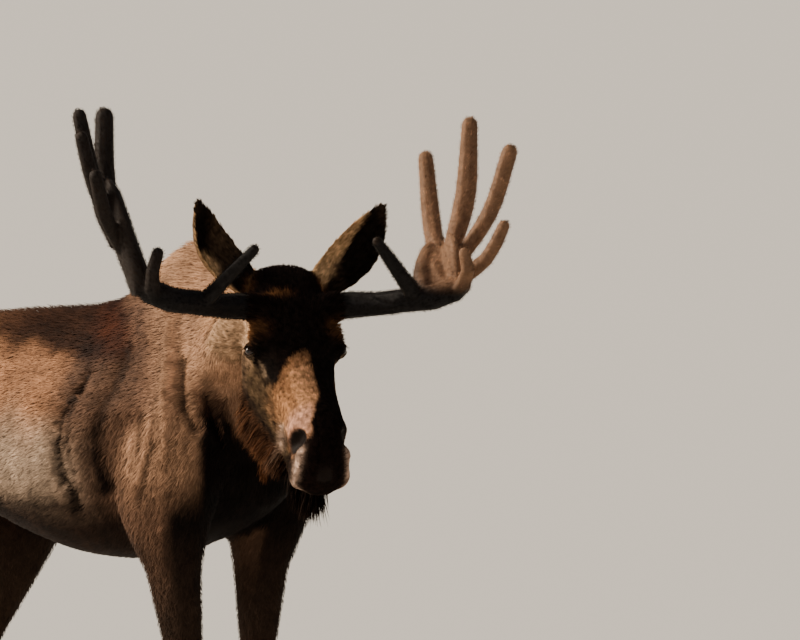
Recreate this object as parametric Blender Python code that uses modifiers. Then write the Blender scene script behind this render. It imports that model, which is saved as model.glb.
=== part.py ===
"""A young bull moose in velvet, standing life size, its head lowered and turned to its right.

Metres, +Z up. The trunk runs along X with the chest at +X, and +Y is the animal's left side.
The outlines are those of the coat's tips. The flesh is modelled whole and parted by thin cuts.
"""
import math

import bmesh
import bpy
import numpy as np
from mathutils import Matrix, Vector

# ---- driving sizes -------------------------------------------------------------------------
GAP = 0.0003                    # clearance between pieces that touch
SOFT_GAP = 0.0009               # round the bell and the tail, whose faces are not flat
AROUND = 28                     # points round a section of flesh
BODY_VOXEL = 0.010              # fineness of the blended body before it is thinned
HEAD_VOXEL = 0.006
ANTLER_VOXEL = 0.005
BODY_TRIANGLES = 2000
HEAD_TRIANGLES = 1080
ANTLER_TRIANGLES = 520

POLL = Vector((0.892, -0.194, 1.733))       # top of the skull between the ears
HEAD_YAW = math.radians(-31.5)              # the head is turned to its right
HEAD_PITCH = math.radians(41.0)             # and lowered
PEDICLE = Vector((0.120, 0.0, -0.020))      # middle of the antler roots, in the head's frame
PEDICLE_REACH = 0.125                       # from the skull's middle to where an antler starts
PEDICLE_RADIUS = 0.043
PEDICLE_ROOM = 0.118                        # width of the room cleared for an antler's root

EYE = Vector((0.212, 0.115, -0.093))        # middle of the left eyeball, in the head's frame
EYE_RADIUS = 0.0195

# An ear's root and direction in the head's frame, on its own side, the turn of its opening
# from straight ahead in degrees, counterclockwise from above, and its sideways bow.
EARS = {
    "left": ((-0.012, 0.104, -0.074), (-0.098, 0.148, 0.178), -10.0, 0.020),
    "right": ((-0.012, 0.094, -0.064), (-0.098, 0.135, 0.186), 38.0, 0.0),
}
EAR_LENGTH = 0.262
EAR_WIDTH = 0.122
EAR_CUP = 0.036                             # how far the back of the ear bulges
EAR_WALL = 0.010
EAR_BOW = 0.030                             # how far its middle lies behind the line to the tip
EAR_GAP = 0.0007                            # clearance round its root, whose faces are not flat
EAR_ROOT = 0.10                             # share of its length that is sunk in the head
EAR_MARKS = (0.04, 0.13, 0.24, 0.38, 0.52, 0.66, 0.80, 0.92, 1.0)

# How far each foot stands ahead of the leg's own line.
FOOT_SHIFT = {
    "front_right": 0.055,
    "front_left": -0.060,
    "hind_right": -0.075,
    "hind_left": 0.050,
}
SHIFT_FROM = 1.05                           # height at which a leg starts to lean
FRONT_FOOT = Vector((0.4625, 0.150, 0.0))
HIND_FOOT = Vector((-0.6030, 0.145, 0.0))
FRONT_HOOF = 0.150                          # length of a hoof on the ground
HIND_HOOF = 0.138
CLAW_WIDTH = 0.052
CORONET_FRONT = 0.084                       # height of the hoof's top edge at the toe
CORONET_BACK = 0.048
CLAW_CLEFT = 0.005                          # between the two claws of a foot
DEWCLAW_APART = 0.024                       # from the foot's middle to a dewclaw
DEWCLAW_BEHIND = {"front": -0.062, "hind": -0.076}

# ---- stations ------------------------------------------------------------------------------
# A station is: centre, the direction called up, reach up, reach down, half width,
# roundness above and below (1 a ridge, 2 round, 3 boxy).
UP = (0.0, 0.0, 1.0)
AHEAD = (1.0, 0.0, 0.0)
OUTWARDS = (0.0, 1.0, 0.0)


def upright(x, top, bottom, half, widest=0.46, above=1.7, below=2.2):
    """A station of the trunk: upright, with its widest level a fraction of the way up."""
    level = bottom + (top - bottom) * widest
    return ((x, 0.0, level), UP, top - level, level - bottom, half, above, below)


def level(z, front, back, half, y, roundness=2.1):
    """A station of a leg: level, from its front edge to its back edge."""
    middle = (front + back) / 2
    reach = (front - back) / 2
    return ((middle, y, z), AHEAD, reach, reach, half, roundness, roundness)


TRUNK = (
    upright(-0.850, 1.400, 1.290, 0.040),
    upright(-0.815, 1.450, 1.200, 0.110),
    upright(-0.720, 1.515, 1.110, 0.185),
    upright(-0.560, 1.565, 1.070, 0.235),
    upright(-0.380, 1.584, 1.030, 0.272),
    upright(-0.180, 1.600, 0.968, 0.300),
    upright(0.000, 1.612, 0.930, 0.305),
    upright(0.140, 1.655, 0.925, 0.290, above=1.55),
    upright(0.270, 1.758, 0.945, 0.268, above=1.4),
    upright(0.370, 1.802, 0.975, 0.250, above=1.35),
    upright(0.480, 1.768, 1.020, 0.225, above=1.35),
    upright(0.590, 1.680, 1.075, 0.175, above=1.5),
    upright(0.665, 1.640, 1.150, 0.110),
    upright(0.690, 1.560, 1.240, 0.050),
)

NECK = (
    ((0.400, 0.000, 1.400), UP, 0.375, 0.340, 0.205, 1.4, 2.0),
    ((0.540, -0.025, 1.440), (0.10, -0.04, 0.99), 0.285, 0.330, 0.178, 1.5, 1.8),
    ((0.660, -0.070, 1.520), (0.30, -0.17, 0.92), 0.205, 0.280, 0.156, 1.7, 2.3),
    ((0.760, -0.120, 1.590), (0.46, -0.28, 0.83), 0.142, 0.215, 0.138, 1.9, 2.7),
    ((0.850, -0.168, 1.620), (0.54, -0.33, 0.77), 0.092, 0.170, 0.108, 2.0, 2.8),
)

# The head's own frame: X along the face to the nose, Y to its left, Z out of the forehead.
SKULL = (
    (-0.070, -0.038, -0.205, 0.072, 2.0, 2.0),
    (-0.020, -0.018, -0.235, 0.096, 3.2, 2.0),
    (0.050, -0.002, -0.240, 0.102, 3.2, 2.0),
    (0.110, 0.006, -0.240, 0.104, 2.9, 2.0),
    (0.180, 0.002, -0.230, 0.106, 2.5, 2.0),
    (0.240, -0.013, -0.212, 0.100, 2.3, 2.0),
    (0.320, -0.028, -0.195, 0.088, 2.1, 2.0),
    (0.400, -0.025, -0.180, 0.080, 2.2, 2.1),
    (0.480, -0.010, -0.172, 0.076, 2.3, 2.3),
    (0.550, 0.000, -0.175, 0.075, 2.4, 2.5),
    (0.600, -0.010, -0.188, 0.073, 2.3, 2.6),
    (0.640, -0.036, -0.193, 0.062, 2.2, 2.5),
    (0.664, -0.068, -0.182, 0.044, 2.0, 2.2),
    (0.676, -0.098, -0.160, 0.020, 2.0, 2.0),
)
JAW = (
    (0.010, -0.110, -0.250, 0.078, 2.0, 2.2),
    (0.070, -0.110, -0.296, 0.100, 2.0, 2.3),
    (0.150, -0.100, -0.314, 0.114, 2.0, 2.5),
    (0.240, -0.090, -0.314, 0.113, 2.0, 2.5),
    (0.320, -0.080, -0.294, 0.101, 2.0, 2.4),
    (0.400, -0.080, -0.264, 0.084, 2.0, 2.3),
    (0.480, -0.090, -0.236, 0.065, 2.0, 2.2),
    (0.545, -0.110, -0.222, 0.050, 2.0, 2.2),
    (0.585, -0.130, -0.214, 0.042, 2.0, 2.2),
    (0.612, -0.150, -0.194, 0.022, 2.0, 2.0),
)

FRONT_LEG = (
    level(1.46, 0.580, 0.260, 0.050, 0.165),
    level(1.30, 0.618, 0.225, 0.084, 0.178),
    level(1.15, 0.610, 0.245, 0.094, 0.186),
    level(1.02, 0.556, 0.285, 0.080, 0.180),
    level(0.92, 0.518, 0.332, 0.062, 0.168),
    level(0.80, 0.505, 0.360, 0.054, 0.160),
    level(0.70, 0.495, 0.385, 0.048, 0.154),
    level(0.62, 0.492, 0.393, 0.046, 0.150, 2.4),
    level(0.56, 0.500, 0.392, 0.046, 0.150, 2.6),
    level(0.50, 0.492, 0.402, 0.039, 0.150, 2.3),
    level(0.42, 0.476, 0.410, 0.029, 0.150),
    level(0.30, 0.470, 0.408, 0.026, 0.150),
    level(0.20, 0.472, 0.402, 0.029, 0.150),
    level(0.165, 0.478, 0.390, 0.037, 0.150),
    level(0.13, 0.472, 0.394, 0.034, 0.150),
    level(0.09, 0.494, 0.410, 0.045, 0.150, 2.3),
    level(0.06, 0.512, 0.410, 0.052, 0.150, 2.4),
    level(0.02, 0.520, 0.410, 0.054, 0.150, 2.4),
)
HIND_LEG = (
    level(1.44, -0.420, -0.660, 0.050, 0.100),
    level(1.32, -0.335, -0.802, 0.098, 0.132),
    level(1.20, -0.330, -0.848, 0.112, 0.148),
    level(1.08, -0.345, -0.822, 0.110, 0.156),
    level(0.98, -0.375, -0.782, 0.096, 0.158),
    level(0.88, -0.445, -0.752, 0.076, 0.154),
    level(0.78, -0.525, -0.742, 0.060, 0.149),
    level(0.70, -0.588, -0.757, 0.047, 0.146),
    level(0.64, -0.635, -0.775, 0.041, 0.145, 2.4),
    level(0.58, -0.650, -0.766, 0.039, 0.145, 2.5),
    level(0.50, -0.656, -0.746, 0.032, 0.145),
    level(0.40, -0.650, -0.721, 0.029, 0.145),
    level(0.30, -0.636, -0.702, 0.028, 0.145),
    level(0.20, -0.620, -0.692, 0.031, 0.145),
    level(0.165, -0.604, -0.692, 0.038, 0.145),
    level(0.12, -0.588, -0.664, 0.036, 0.145),
    level(0.085, -0.566, -0.652, 0.045, 0.145, 2.3),
    level(0.05, -0.552, -0.652, 0.051, 0.145, 2.4),
    level(0.02, -0.546, -0.652, 0.053, 0.145, 2.4),
)

TAIL = (
    ((-0.800, 0.000, 1.392), AHEAD, 0.020, 0.020, 0.020, 2.0, 2.0),
    ((-0.846, 0.000, 1.355), AHEAD, 0.020, 0.018, 0.027, 2.0, 2.0),
    ((-0.860, 0.000, 1.300), AHEAD, 0.017, 0.017, 0.026, 2.0, 2.0),
    ((-0.864, 0.000, 1.245), AHEAD, 0.007, 0.007, 0.010, 2.0, 2.0),
)
BELL = (
    ((0.725, -0.105, 1.520), AHEAD, 0.050, 0.050, 0.028, 2.0, 2.0),
    ((0.734, -0.116, 1.440), AHEAD, 0.040, 0.038, 0.027, 2.0, 2.0),
    ((0.740, -0.124, 1.360), AHEAD, 0.034, 0.032, 0.026, 2.0, 2.0),
    ((0.742, -0.130, 1.280), AHEAD, 0.027, 0.026, 0.022, 2.0, 2.0),
    ((0.742, -0.132, 1.205), AHEAD, 0.008, 0.008, 0.008, 2.0, 2.0),
)

# Swellings of the left side, each a centre and three radii: those of the body in the part's
# frame, the point of the shoulder and the hip, and those of the head in the head's frame, the
# brow, the bone above the eye, the cheek, the nostril and the upper lip.
BODY_SWELLINGS = (
    ((0.555, 0.130, 1.290), (0.105, 0.085, 0.150)),
    ((-0.430, 0.165, 1.380), (0.120, 0.075, 0.120)),
)
HEAD_SWELLINGS = (
    ((0.208, 0.093, -0.090), (0.052, 0.036, 0.040)),
    ((0.196, 0.086, -0.056), (0.050, 0.038, 0.028)),
    ((0.105, 0.060, -0.190), (0.085, 0.036, 0.085)),
    ((0.540, 0.044, -0.085), (0.055, 0.034, 0.050)),
    ((0.616, 0.048, -0.140), (0.044, 0.037, 0.050)),
)

# Where the flesh is parted. The head's block is in its own frame: back, front, low, high, half
# width. A leg's room is: back, front, inner side, top. The neck's cut is a point and a normal.
HEAD_BLOCK = (-0.045, 0.80, -0.305, 0.20, 0.30)
LEG_ROOMS = {"front": (0.215, 0.640, 0.118, 1.34), "hind": (-0.95, -0.330, 0.105, 1.30)}
LEG_FREE = 0.91                 # height up to which a leg stands clear of the trunk
LEG_JOINED = 1.02               # height from which its inner side is cut out of the trunk
NECK_CUT = (Vector((0.535, 0.0, 1.780)), Vector((0.973, 0.0, 0.229)))

# ---- antlers -------------------------------------------------------------------------------
# Their frame: X ahead and level, Y outwards from the skull's middle, Z up, from the pedicle.
# A branch is pairs of a point and a radius there, from its root to its tip.
STUB_SPARE = 0.014              # how far a stub runs on before it is cut flat
PALM_CUT = (Vector((0.100, 0.402, 0.040)), Vector((-0.10, 0.75, 0.40)))
BEAM = (
    ((0.000, 0.095, -0.004), 0.034),
    ((0.000, 0.137, -0.001), 0.034),
    ((0.042, 0.205, 0.004), 0.030),
    ((0.095, 0.275, 0.014), 0.030),
    ((0.114, 0.350, 0.024), 0.031),
    ((0.106, 0.430, 0.056), 0.031),
)
BROWS = {
    "left": (
        ((0.102, 0.308, 0.014), 0.022),
        ((0.185, 0.232, 0.096), 0.018),
        ((0.258, 0.156, 0.180), 0.012),
    ),
    "right": (
        ((0.075, 0.260, 0.006), 0.021),
        ((0.170, 0.222, 0.072), 0.017),
        ((0.258, 0.154, 0.162), 0.012),
    ),
}
FRONTS = {
    "left": (
        ((0.116, 0.396, 0.028), 0.022),
        ((0.166, 0.424, 0.082), 0.018),
        ((0.165, 0.412, 0.152), 0.014),
    ),
    "right": (
        ((0.116, 0.392, 0.028), 0.022),
        ((0.166, 0.410, 0.086), 0.018),
        ((0.165, 0.390, 0.158), 0.014),
    ),
}
PALMS = {
    "left": (
        ((0.112, 0.415, 0.036), AHEAD, 0.030, 0.045, 0.028, 2.2, 2.2),
        ((0.066, 0.412, 0.066), (0.96, 0.0, 0.28), 0.055, 0.085, 0.024, 2.2, 2.2),
        ((0.020, 0.408, 0.100), (0.90, 0.0, 0.43), 0.092, 0.100, 0.020, 2.2, 2.2),
        ((-0.006, 0.412, 0.138), (0.88, 0.0, 0.47), 0.082, 0.074, 0.016, 2.2, 2.2),
        ((-0.016, 0.416, 0.160), (0.88, 0.0, 0.47), 0.045, 0.040, 0.008, 2.2, 2.2),
    ),
    "right": (
        ((0.104, 0.420, 0.040), AHEAD, 0.030, 0.040, 0.028, 2.2, 2.2),
        ((0.080, 0.438, 0.110), AHEAD, 0.060, 0.070, 0.027, 2.2, 2.2),
        ((0.054, 0.460, 0.180), AHEAD, 0.090, 0.100, 0.024, 2.2, 2.2),
        ((0.028, 0.478, 0.250), AHEAD, 0.105, 0.110, 0.021, 2.2, 2.2),
        ((0.010, 0.492, 0.305), AHEAD, 0.088, 0.085, 0.017, 2.2, 2.2),
        ((0.004, 0.500, 0.332), AHEAD, 0.055, 0.050, 0.009, 2.2, 2.2),
    ),
}
PALM_WEBS = {                   # the sheet of a palm between its inner edge and its first tine
    "left": (
        (((0.100, 0.325, 0.026), 0.024), ((0.030, 0.334, 0.082), 0.022), ((-0.050, 0.378, 0.150), 0.022)),
        (((0.106, 0.368, 0.030), 0.024), ((0.025, 0.374, 0.090), 0.024), ((-0.030, 0.392, 0.140), 0.020)),
    ),
    "right": (),
}
TINES = {
    "left": (
        (((0.020, 0.396, 0.085), 0.018), ((-0.160, 0.410, 0.185), 0.024), ((-0.262, 0.414, 0.390), 0.019)),
        (((0.010, 0.402, 0.095), 0.019), ((-0.066, 0.474, 0.275), 0.027), ((-0.100, 0.496, 0.484), 0.020)),
        (((0.040, 0.412, 0.090), 0.018), ((0.064, 0.508, 0.240), 0.021), ((0.050, 0.570, 0.414), 0.020)),
        (((0.080, 0.420, 0.062), 0.018), ((0.146, 0.486, 0.132), 0.018), ((0.160, 0.527, 0.220), 0.015)),
    ),
    "right": (
        (((0.000, 0.468, 0.160), 0.017), ((-0.120, 0.484, 0.262), 0.021), ((-0.222, 0.452, 0.352), 0.018)),
        (((-0.020, 0.472, 0.200), 0.019), ((-0.062, 0.486, 0.350), 0.025), ((-0.096, 0.480, 0.512), 0.023)),
        (((0.010, 0.482, 0.200), 0.017), ((0.014, 0.538, 0.360), 0.020), ((0.000, 0.568, 0.510), 0.017)),
        (((0.040, 0.480, 0.190), 0.017), ((0.086, 0.546, 0.325), 0.019), ((0.096, 0.582, 0.455), 0.016)),
        (((0.070, 0.466, 0.150), 0.017), ((0.150, 0.530, 0.246), 0.019), ((0.182, 0.562, 0.358), 0.017)),
    ),
}

HEAD_FRAME = (
    Matrix.Translation(POLL)
    @ Matrix.Rotation(HEAD_YAW, 4, "Z")
    @ Matrix.Rotation(HEAD_PITCH, 4, "Y")
)


# ---- making and joining shapes -------------------------------------------------------------
def new_object(name, bm, collection):
    """Make an object of a bmesh, with its faces pointing outwards, and free the bmesh."""
    bmesh.ops.recalc_face_normals(bm, faces=bm.faces)
    mesh = bpy.data.meshes.new(name)
    bm.to_mesh(mesh)
    bm.free()
    piece = bpy.data.objects.new(name, mesh)
    collection.objects.link(piece)
    return piece


def resample(stations, step):
    """Stations about a step apart, on a smooth curve through the given ones."""
    rows = np.array([[*s[0], *s[1], *s[2:]] for s in stations], dtype=float)
    gaps = np.linalg.norm(np.diff(rows[:, :3], axis=0), axis=1)
    marks = np.concatenate(([0.0], np.cumsum(gaps)))
    slopes = np.gradient(rows, marks, axis=0)
    wanted = np.linspace(0.0, marks[-1], max(2, round(marks[-1] / step)) + 1)
    span = np.clip(np.searchsorted(marks, wanted, side="right") - 1, 0, len(rows) - 2)
    width = gaps[span][:, None]
    t = (wanted - marks[span])[:, None] / width
    first = (1 + 2 * t) * (1 - t) ** 2 * rows[span] + t * (1 - t) ** 2 * width * slopes[span]
    last = t * t * (3 - 2 * t) * rows[span + 1] - t * t * (1 - t) * width * slopes[span + 1]
    return [(tuple(r[:3]), tuple(r[3:6]), *r[6:]) for r in first + last]


def section(station, travel, around, grow):
    """The closed outline of one station, for a loft that travels in the given direction."""
    centre, up, above, below, half, round_above, round_below = station
    centre = Vector(centre)
    up = Vector(up).normalized()
    side = up.cross(travel).normalized()
    points = []
    for k in range(around):
        angle = 2 * math.pi * k / around
        rise = math.cos(angle)
        out = math.sin(angle)
        reach = above if rise > 0 else below
        power = 2 / (round_above if rise > 0 else round_below)
        high = (reach + grow) * math.copysign(abs(rise) ** power, rise)
        wide = (half + grow) * math.copysign(abs(out) ** power, out)
        points.append(centre + up * high + side * wide)
    return points


def skin_rings(bm, rings):
    """Join rings of points into a closed tube with flat ends."""
    loops = [[bm.verts.new(p) for p in ring] for ring in rings]
    for one, other in zip(loops, loops[1:]):
        for k in range(len(one)):
            after = (k + 1) % len(one)
            bm.faces.new((one[k], one[after], other[after], other[k]))
    bm.faces.new(loops[0])
    bm.faces.new(reversed(loops[-1]))


def loft(bm, stations, step=0.03, around=AROUND, frame=Matrix(), grow=0.0, lead=None):
    """Add a closed tube through the stations, its first end square to the lead, if given."""
    rows = resample(stations, step) if step else list(stations)
    centres = [Vector(row[0]) for row in rows]
    rings = []
    for k, row in enumerate(rows):
        travel = centres[min(k + 1, len(rows) - 1)] - centres[max(k - 1, 0)]
        if lead and k == 0:
            travel = lead
        end = (k == len(rows) - 1) - (k == 0)
        longer = travel.normalized() * grow * end
        rings.append([frame @ (p + longer) for p in section(row, travel, around, grow)])
    skin_rings(bm, rings)


def ball(bm, centre, radii, frame=Matrix()):
    """Add a stretched sphere."""
    place = frame @ Matrix.Translation(centre) @ Matrix.Diagonal((*radii, 1.0))
    bmesh.ops.create_uvsphere(bm, u_segments=24, v_segments=14, radius=1.0, matrix=place)


def swell(bm, swellings, frame=Matrix()):
    """Add the swellings of a table on both sides."""
    for (x, y, z), radii in swellings:
        ball(bm, (x, y, z), radii, frame)
        ball(bm, (x, -y, z), radii, frame)


def branch_rows(branch, step=0.045, spare=OUTWARDS):
    """Stations of a round branch through (point, radius) pairs, which ends in half a ball.

    The branch must not travel along the spare direction, from which its sections are turned.
    """
    before, tip = Vector(branch[-2][0]), Vector(branch[-1][0])
    radius = branch[-1][1]
    last = (tip - before).normalized()
    middle = tip - last * radius
    shaft = [(p, spare, r, r, r, 2.0, 2.0) for p, r in branch[:-1]]
    shaft.append((tuple(middle), spare, radius, radius, radius, 2.0, 2.0))
    rows = resample(shaft, step)
    for turn in (0.60, 1.20):
        ring = radius * math.cos(turn)
        rows.append((tuple(middle + last * radius * math.sin(turn)), spare, ring, ring, ring, 2.0, 2.0))
    squared = []
    for k, row in enumerate(rows):
        travel = Vector(rows[min(k + 1, len(rows) - 1)][0]) - Vector(rows[max(k - 1, 0)][0])
        up = Vector(spare) - travel * (travel.dot(Vector(spare)) / travel.length_squared)
        squared.append((row[0], tuple(up.normalized()), *row[2:]))
    return squared


def settle(piece, rounds):
    """Smooth a mesh without shrinking it: each push inwards is followed by one outwards."""
    mesh = piece.data
    count = len(mesh.vertices)
    points = np.empty(count * 3)
    mesh.vertices.foreach_get("co", points)
    points = points.reshape(-1, 3)
    edges = np.empty(len(mesh.edges) * 2, dtype=np.int64)
    mesh.edges.foreach_get("vertices", edges)
    ends = edges.reshape(-1, 2)
    ends = np.concatenate((ends, ends[:, ::-1]))
    degree = np.bincount(ends[:, 0], minlength=count)[:, None]
    for push in (0.5, -0.52) * rounds:
        near = points[ends[:, 1]]
        total = [np.bincount(ends[:, 0], near[:, axis], count) for axis in range(3)]
        points = points + push * (np.column_stack(total) / degree - points)
    mesh.vertices.foreach_set("co", points.ravel())
    mesh.update()


def apply_modifiers(piece):
    """Replace an object's mesh by what its modifiers make of it."""
    bpy.context.view_layer.update()
    evaluated = piece.evaluated_get(bpy.context.evaluated_depsgraph_get())
    mesh = bpy.data.meshes.new_from_object(evaluated)
    piece.modifiers.clear()
    old = piece.data
    piece.data = mesh
    bpy.data.meshes.remove(old)


def triangle_count(piece):
    return sum(len(face.vertices) - 2 for face in piece.data.polygons)


def blend(piece, voxel, rounds, triangles):
    """Melt overlapping shells into one skin, smooth it and thin it to a number of triangles."""
    remesh = piece.modifiers.new("melt", "REMESH")
    remesh.mode = "VOXEL"
    remesh.voxel_size = voxel
    apply_modifiers(piece)
    settle(piece, rounds)
    thin = piece.modifiers.new("thin", "DECIMATE")
    thin.ratio = triangles / triangle_count(piece)
    apply_modifiers(piece)


def boolean(piece, other, operation):
    """Cut or keep the part of a piece inside another object, which stays."""
    cut = piece.modifiers.new("cut", "BOOLEAN")
    cut.operation = operation
    cut.solver = "EXACT"
    cut.object = other
    apply_modifiers(piece)


def duplicate(piece, name):
    twin = bpy.data.objects.new(name, piece.data.copy())
    piece.users_collection[0].objects.link(twin)
    return twin


def discard(*pieces):
    for piece in pieces:
        mesh = piece.data
        bpy.data.objects.remove(piece)
        bpy.data.meshes.remove(mesh)


def islands(bm):
    """The vertices of a bmesh in groups that hang together, largest first."""
    left = set(bm.verts)
    groups = []
    while left:
        stack = [left.pop()]
        group = []
        while stack:
            vert = stack.pop()
            group.append(vert)
            for edge in vert.link_edges:
                near = edge.other_vert(vert)
                if near in left:
                    left.remove(near)
                    stack.append(near)
        groups.append(group)
    return sorted(groups, key=len, reverse=True)


def keep_island(piece, seed=None):
    """Keep the island nearest to a seed point, or the largest one, and weld slivers away."""
    bm = bmesh.new()
    bm.from_mesh(piece.data)
    bmesh.ops.remove_doubles(bm, verts=bm.verts, dist=0.00002)
    bmesh.ops.dissolve_degenerate(bm, edges=bm.edges, dist=0.00002)
    groups = islands(bm)
    if seed is not None:
        groups.sort(key=lambda group: min((v.co - seed).length for v in group))
    spare = [vert for group in groups[1:] for vert in group]
    bmesh.ops.delete(bm, geom=spare, context="VERTS")
    bm.to_mesh(piece.data)
    bm.free()


def slab(name, centre, normal, across, upwards, thickness, collection):
    """A flat plate centred on a point, square to a normal."""
    normal = Vector(normal).normalized()
    turn = normal.to_track_quat("Z", "Y").to_matrix().to_4x4()
    size = Matrix.Diagonal((across, upwards, thickness, 1.0))
    bm = bmesh.new()
    bmesh.ops.create_cube(bm, size=1.0, matrix=Matrix.Translation(centre) @ turn @ size)
    return new_object(name, bm, collection)


def halve(piece, point, normal):
    """Cut a piece flat at a plane, and keep the side that the normal leaves."""
    bm = bmesh.new()
    bm.from_mesh(piece.data)
    everything = bm.verts[:] + bm.edges[:] + bm.faces[:]
    bmesh.ops.bisect_plane(
        bm, geom=everything, dist=0.00001, plane_co=point, plane_no=normal, clear_outer=True
    )
    rim = [edge for edge in bm.edges if edge.is_boundary]
    bmesh.ops.holes_fill(bm, edges=rim, sides=0)
    bmesh.ops.recalc_face_normals(bm, faces=bm.faces)
    bm.to_mesh(piece.data)
    bm.free()


# ---- materials -----------------------------------------------------------------------------
def linear(value):
    return value / 12.92 if value <= 0.04045 else ((value + 0.055) / 1.055) ** 2.4


def material(name, colour, roughness):
    """A plain finish from an sRGB hex colour."""
    finish = bpy.data.materials.new(name)
    finish.use_nodes = True
    shader = finish.node_tree.nodes["Principled BSDF"]
    rgb = [linear(int(colour[k:k + 2], 16) / 255) for k in (1, 3, 5)]
    shader.inputs["Base Color"].default_value = (*rgb, 1.0)
    shader.inputs["Roughness"].default_value = roughness
    shader.inputs["Metallic"].default_value = 0.0
    return finish


def give(piece, finish):
    piece.data.materials.clear()
    piece.data.materials.append(finish)


# ---- the body ------------------------------------------------------------------------------
def side_of(name):
    return 1.0 if name.endswith("left") else -1.0


def leg_stations(name):
    """A leg's stations on its own side, leaning so that the foot stands where it should."""
    rows = FRONT_LEG if name.startswith("front") else HIND_LEG
    shift = FOOT_SHIFT[name]
    leant = []
    for centre, *rest in rows:
        lean = shift * max(0.0, 1.0 - centre[2] / SHIFT_FROM)
        leant.append(((centre[0] + lean, centre[1] * side_of(name), centre[2]), *rest))
    return leant


def foot_place(name):
    """Where a foot stands, on the floor under the middle of its hoof."""
    foot = FRONT_FOOT if name.startswith("front") else HIND_FOOT
    return Vector((foot.x + FOOT_SHIFT[name], foot.y * side_of(name), 0.0))


def build_flesh(collection):
    """Trunk, neck and legs in one skin."""
    bm = bmesh.new()
    loft(bm, TRUNK, step=0.04, around=36)
    loft(bm, NECK, step=0.03)
    for name in FOOT_SHIFT:
        loft(bm, leg_stations(name), step=0.02)
    swell(bm, BODY_SWELLINGS)
    flesh = new_object("flesh", bm, collection)
    blend(flesh, BODY_VOXEL, 16, BODY_TRIANGLES)
    return flesh


def head_station(u, top, bottom, half, above, below):
    middle = (top + bottom) / 2
    reach = (top - bottom) / 2
    return ((u, 0.0, middle), UP, reach, reach, half, above, below)


def build_head(collection):
    """Skull, muzzle, jaw, brows and antler stumps in one skin, on a stub of the neck."""
    bm = bmesh.new()
    loft(bm, [head_station(*row) for row in SKULL], step=0.015, frame=HEAD_FRAME)
    loft(bm, [head_station(*row) for row in JAW], step=0.015, frame=HEAD_FRAME)
    loft(bm, NECK, step=0.03)
    swell(bm, HEAD_SWELLINGS, HEAD_FRAME)
    for side in (1, -1):
        stump = []
        for y, z, share in ((0.055, -0.022, 1.0), (0.095, -0.008, 0.96), (0.150, 0.0, 0.90)):
            radius = PEDICLE_RADIUS * share
            stump.append(((0.0, y, z), AHEAD, radius, radius, radius, 2.0, 2.0))
        loft(bm, stump, step=0.02, frame=antler_frame(side))
    head = new_object("head", bm, collection)
    blend(head, HEAD_VOXEL, 3, HEAD_TRIANGLES)
    return head


def head_block(name, grow, collection):
    """The room in front of the cut behind the jaw and the ears."""
    back, front, low, high, half = HEAD_BLOCK
    back -= grow
    low -= grow
    middle = Matrix.Translation(((back + front) / 2, 0.0, (low + high) / 2))
    size = Matrix.Diagonal((front - back, 2 * half, high - low, 1.0))
    bm = bmesh.new()
    bmesh.ops.create_cube(bm, size=1.0, matrix=HEAD_FRAME @ middle @ size)
    return new_object(name, bm, collection)


def leg_room(name, grow, collection):
    """The prism of space whose flesh belongs to one leg: its shoulder or thigh and all below."""
    side = side_of(name)
    back, front, inner, top = LEG_ROOMS[name.split("_")[0]]
    outline = (
        (0.004 - grow, -0.10),
        (0.004 - grow, LEG_FREE + grow),
        (inner - grow, LEG_JOINED + grow),
        (inner + 0.02 - grow, top + grow),
        (0.60, top + grow),
        (0.60, -0.10),
    )
    ends = (back - grow, front + grow)
    bm = bmesh.new()
    skin_rings(bm, [[Vector((x, y * side, z)) for y, z in outline] for x in ends])
    return new_object(name + "_room", bm, collection)


# ---- hooves --------------------------------------------------------------------------------
def coronet_plane(name):
    """A point and the upward normal of the plane where the hair ends and the hoof starts."""
    length = FRONT_HOOF if name.startswith("front") else HIND_HOOF
    rise = CORONET_FRONT - CORONET_BACK
    normal = Vector((-rise, 0.0, length * 0.66)).normalized()
    return foot_place(name) + Vector((0.0, 0.0, (CORONET_FRONT + CORONET_BACK) / 2)), normal


def claw(name, foot, inner, collection):
    """One of a foot's two claws: a wedge with a pointed toe and a round heel."""
    length = FRONT_HOOF if foot.startswith("front") else HIND_HOOF
    place = foot_place(foot)
    y = place.y + inner * (CLAW_WIDTH + CLAW_CLEFT) / 2
    rows = []
    for z, toe, heel, half in (
        (0.000, 0.58, 0.42, 0.46),
        (0.012, 0.55, 0.42, 0.50),
        (0.045, 0.43, 0.37, 0.49),
        (0.105, 0.24, 0.30, 0.44),
    ):
        rows.append(((place.x, y, z), AHEAD, toe * length, heel * length, half * CLAW_WIDTH, 1.75, 2.5))
    bm = bmesh.new()
    loft(bm, rows, step=0, around=12)
    hoof = new_object(name, bm, collection)
    point, normal = coronet_plane(foot)
    halve(hoof, point - normal * GAP, normal)
    return hoof


def dewclaw(name, foot, inner, collection, grow=0.0):
    """A small claw behind the fetlock, pointing down."""
    place = foot_place(foot)
    x = place.x + DEWCLAW_BEHIND[foot.split("_")[0]]
    y = place.y + inner * DEWCLAW_APART
    rows = [
        ((x + 0.016, y, 0.138), AHEAD, 0.011, 0.011, 0.012, 2.0, 2.0),
        ((x + 0.003, y + inner * 0.002, 0.118), AHEAD, 0.013, 0.013, 0.014, 2.0, 2.0),
        ((x - 0.006, y + inner * 0.004, 0.098), AHEAD, 0.007, 0.007, 0.008, 2.0, 2.0),
    ]
    bm = bmesh.new()
    loft(bm, rows, step=0, around=8, grow=grow)
    return new_object(name, bm, collection)


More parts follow.
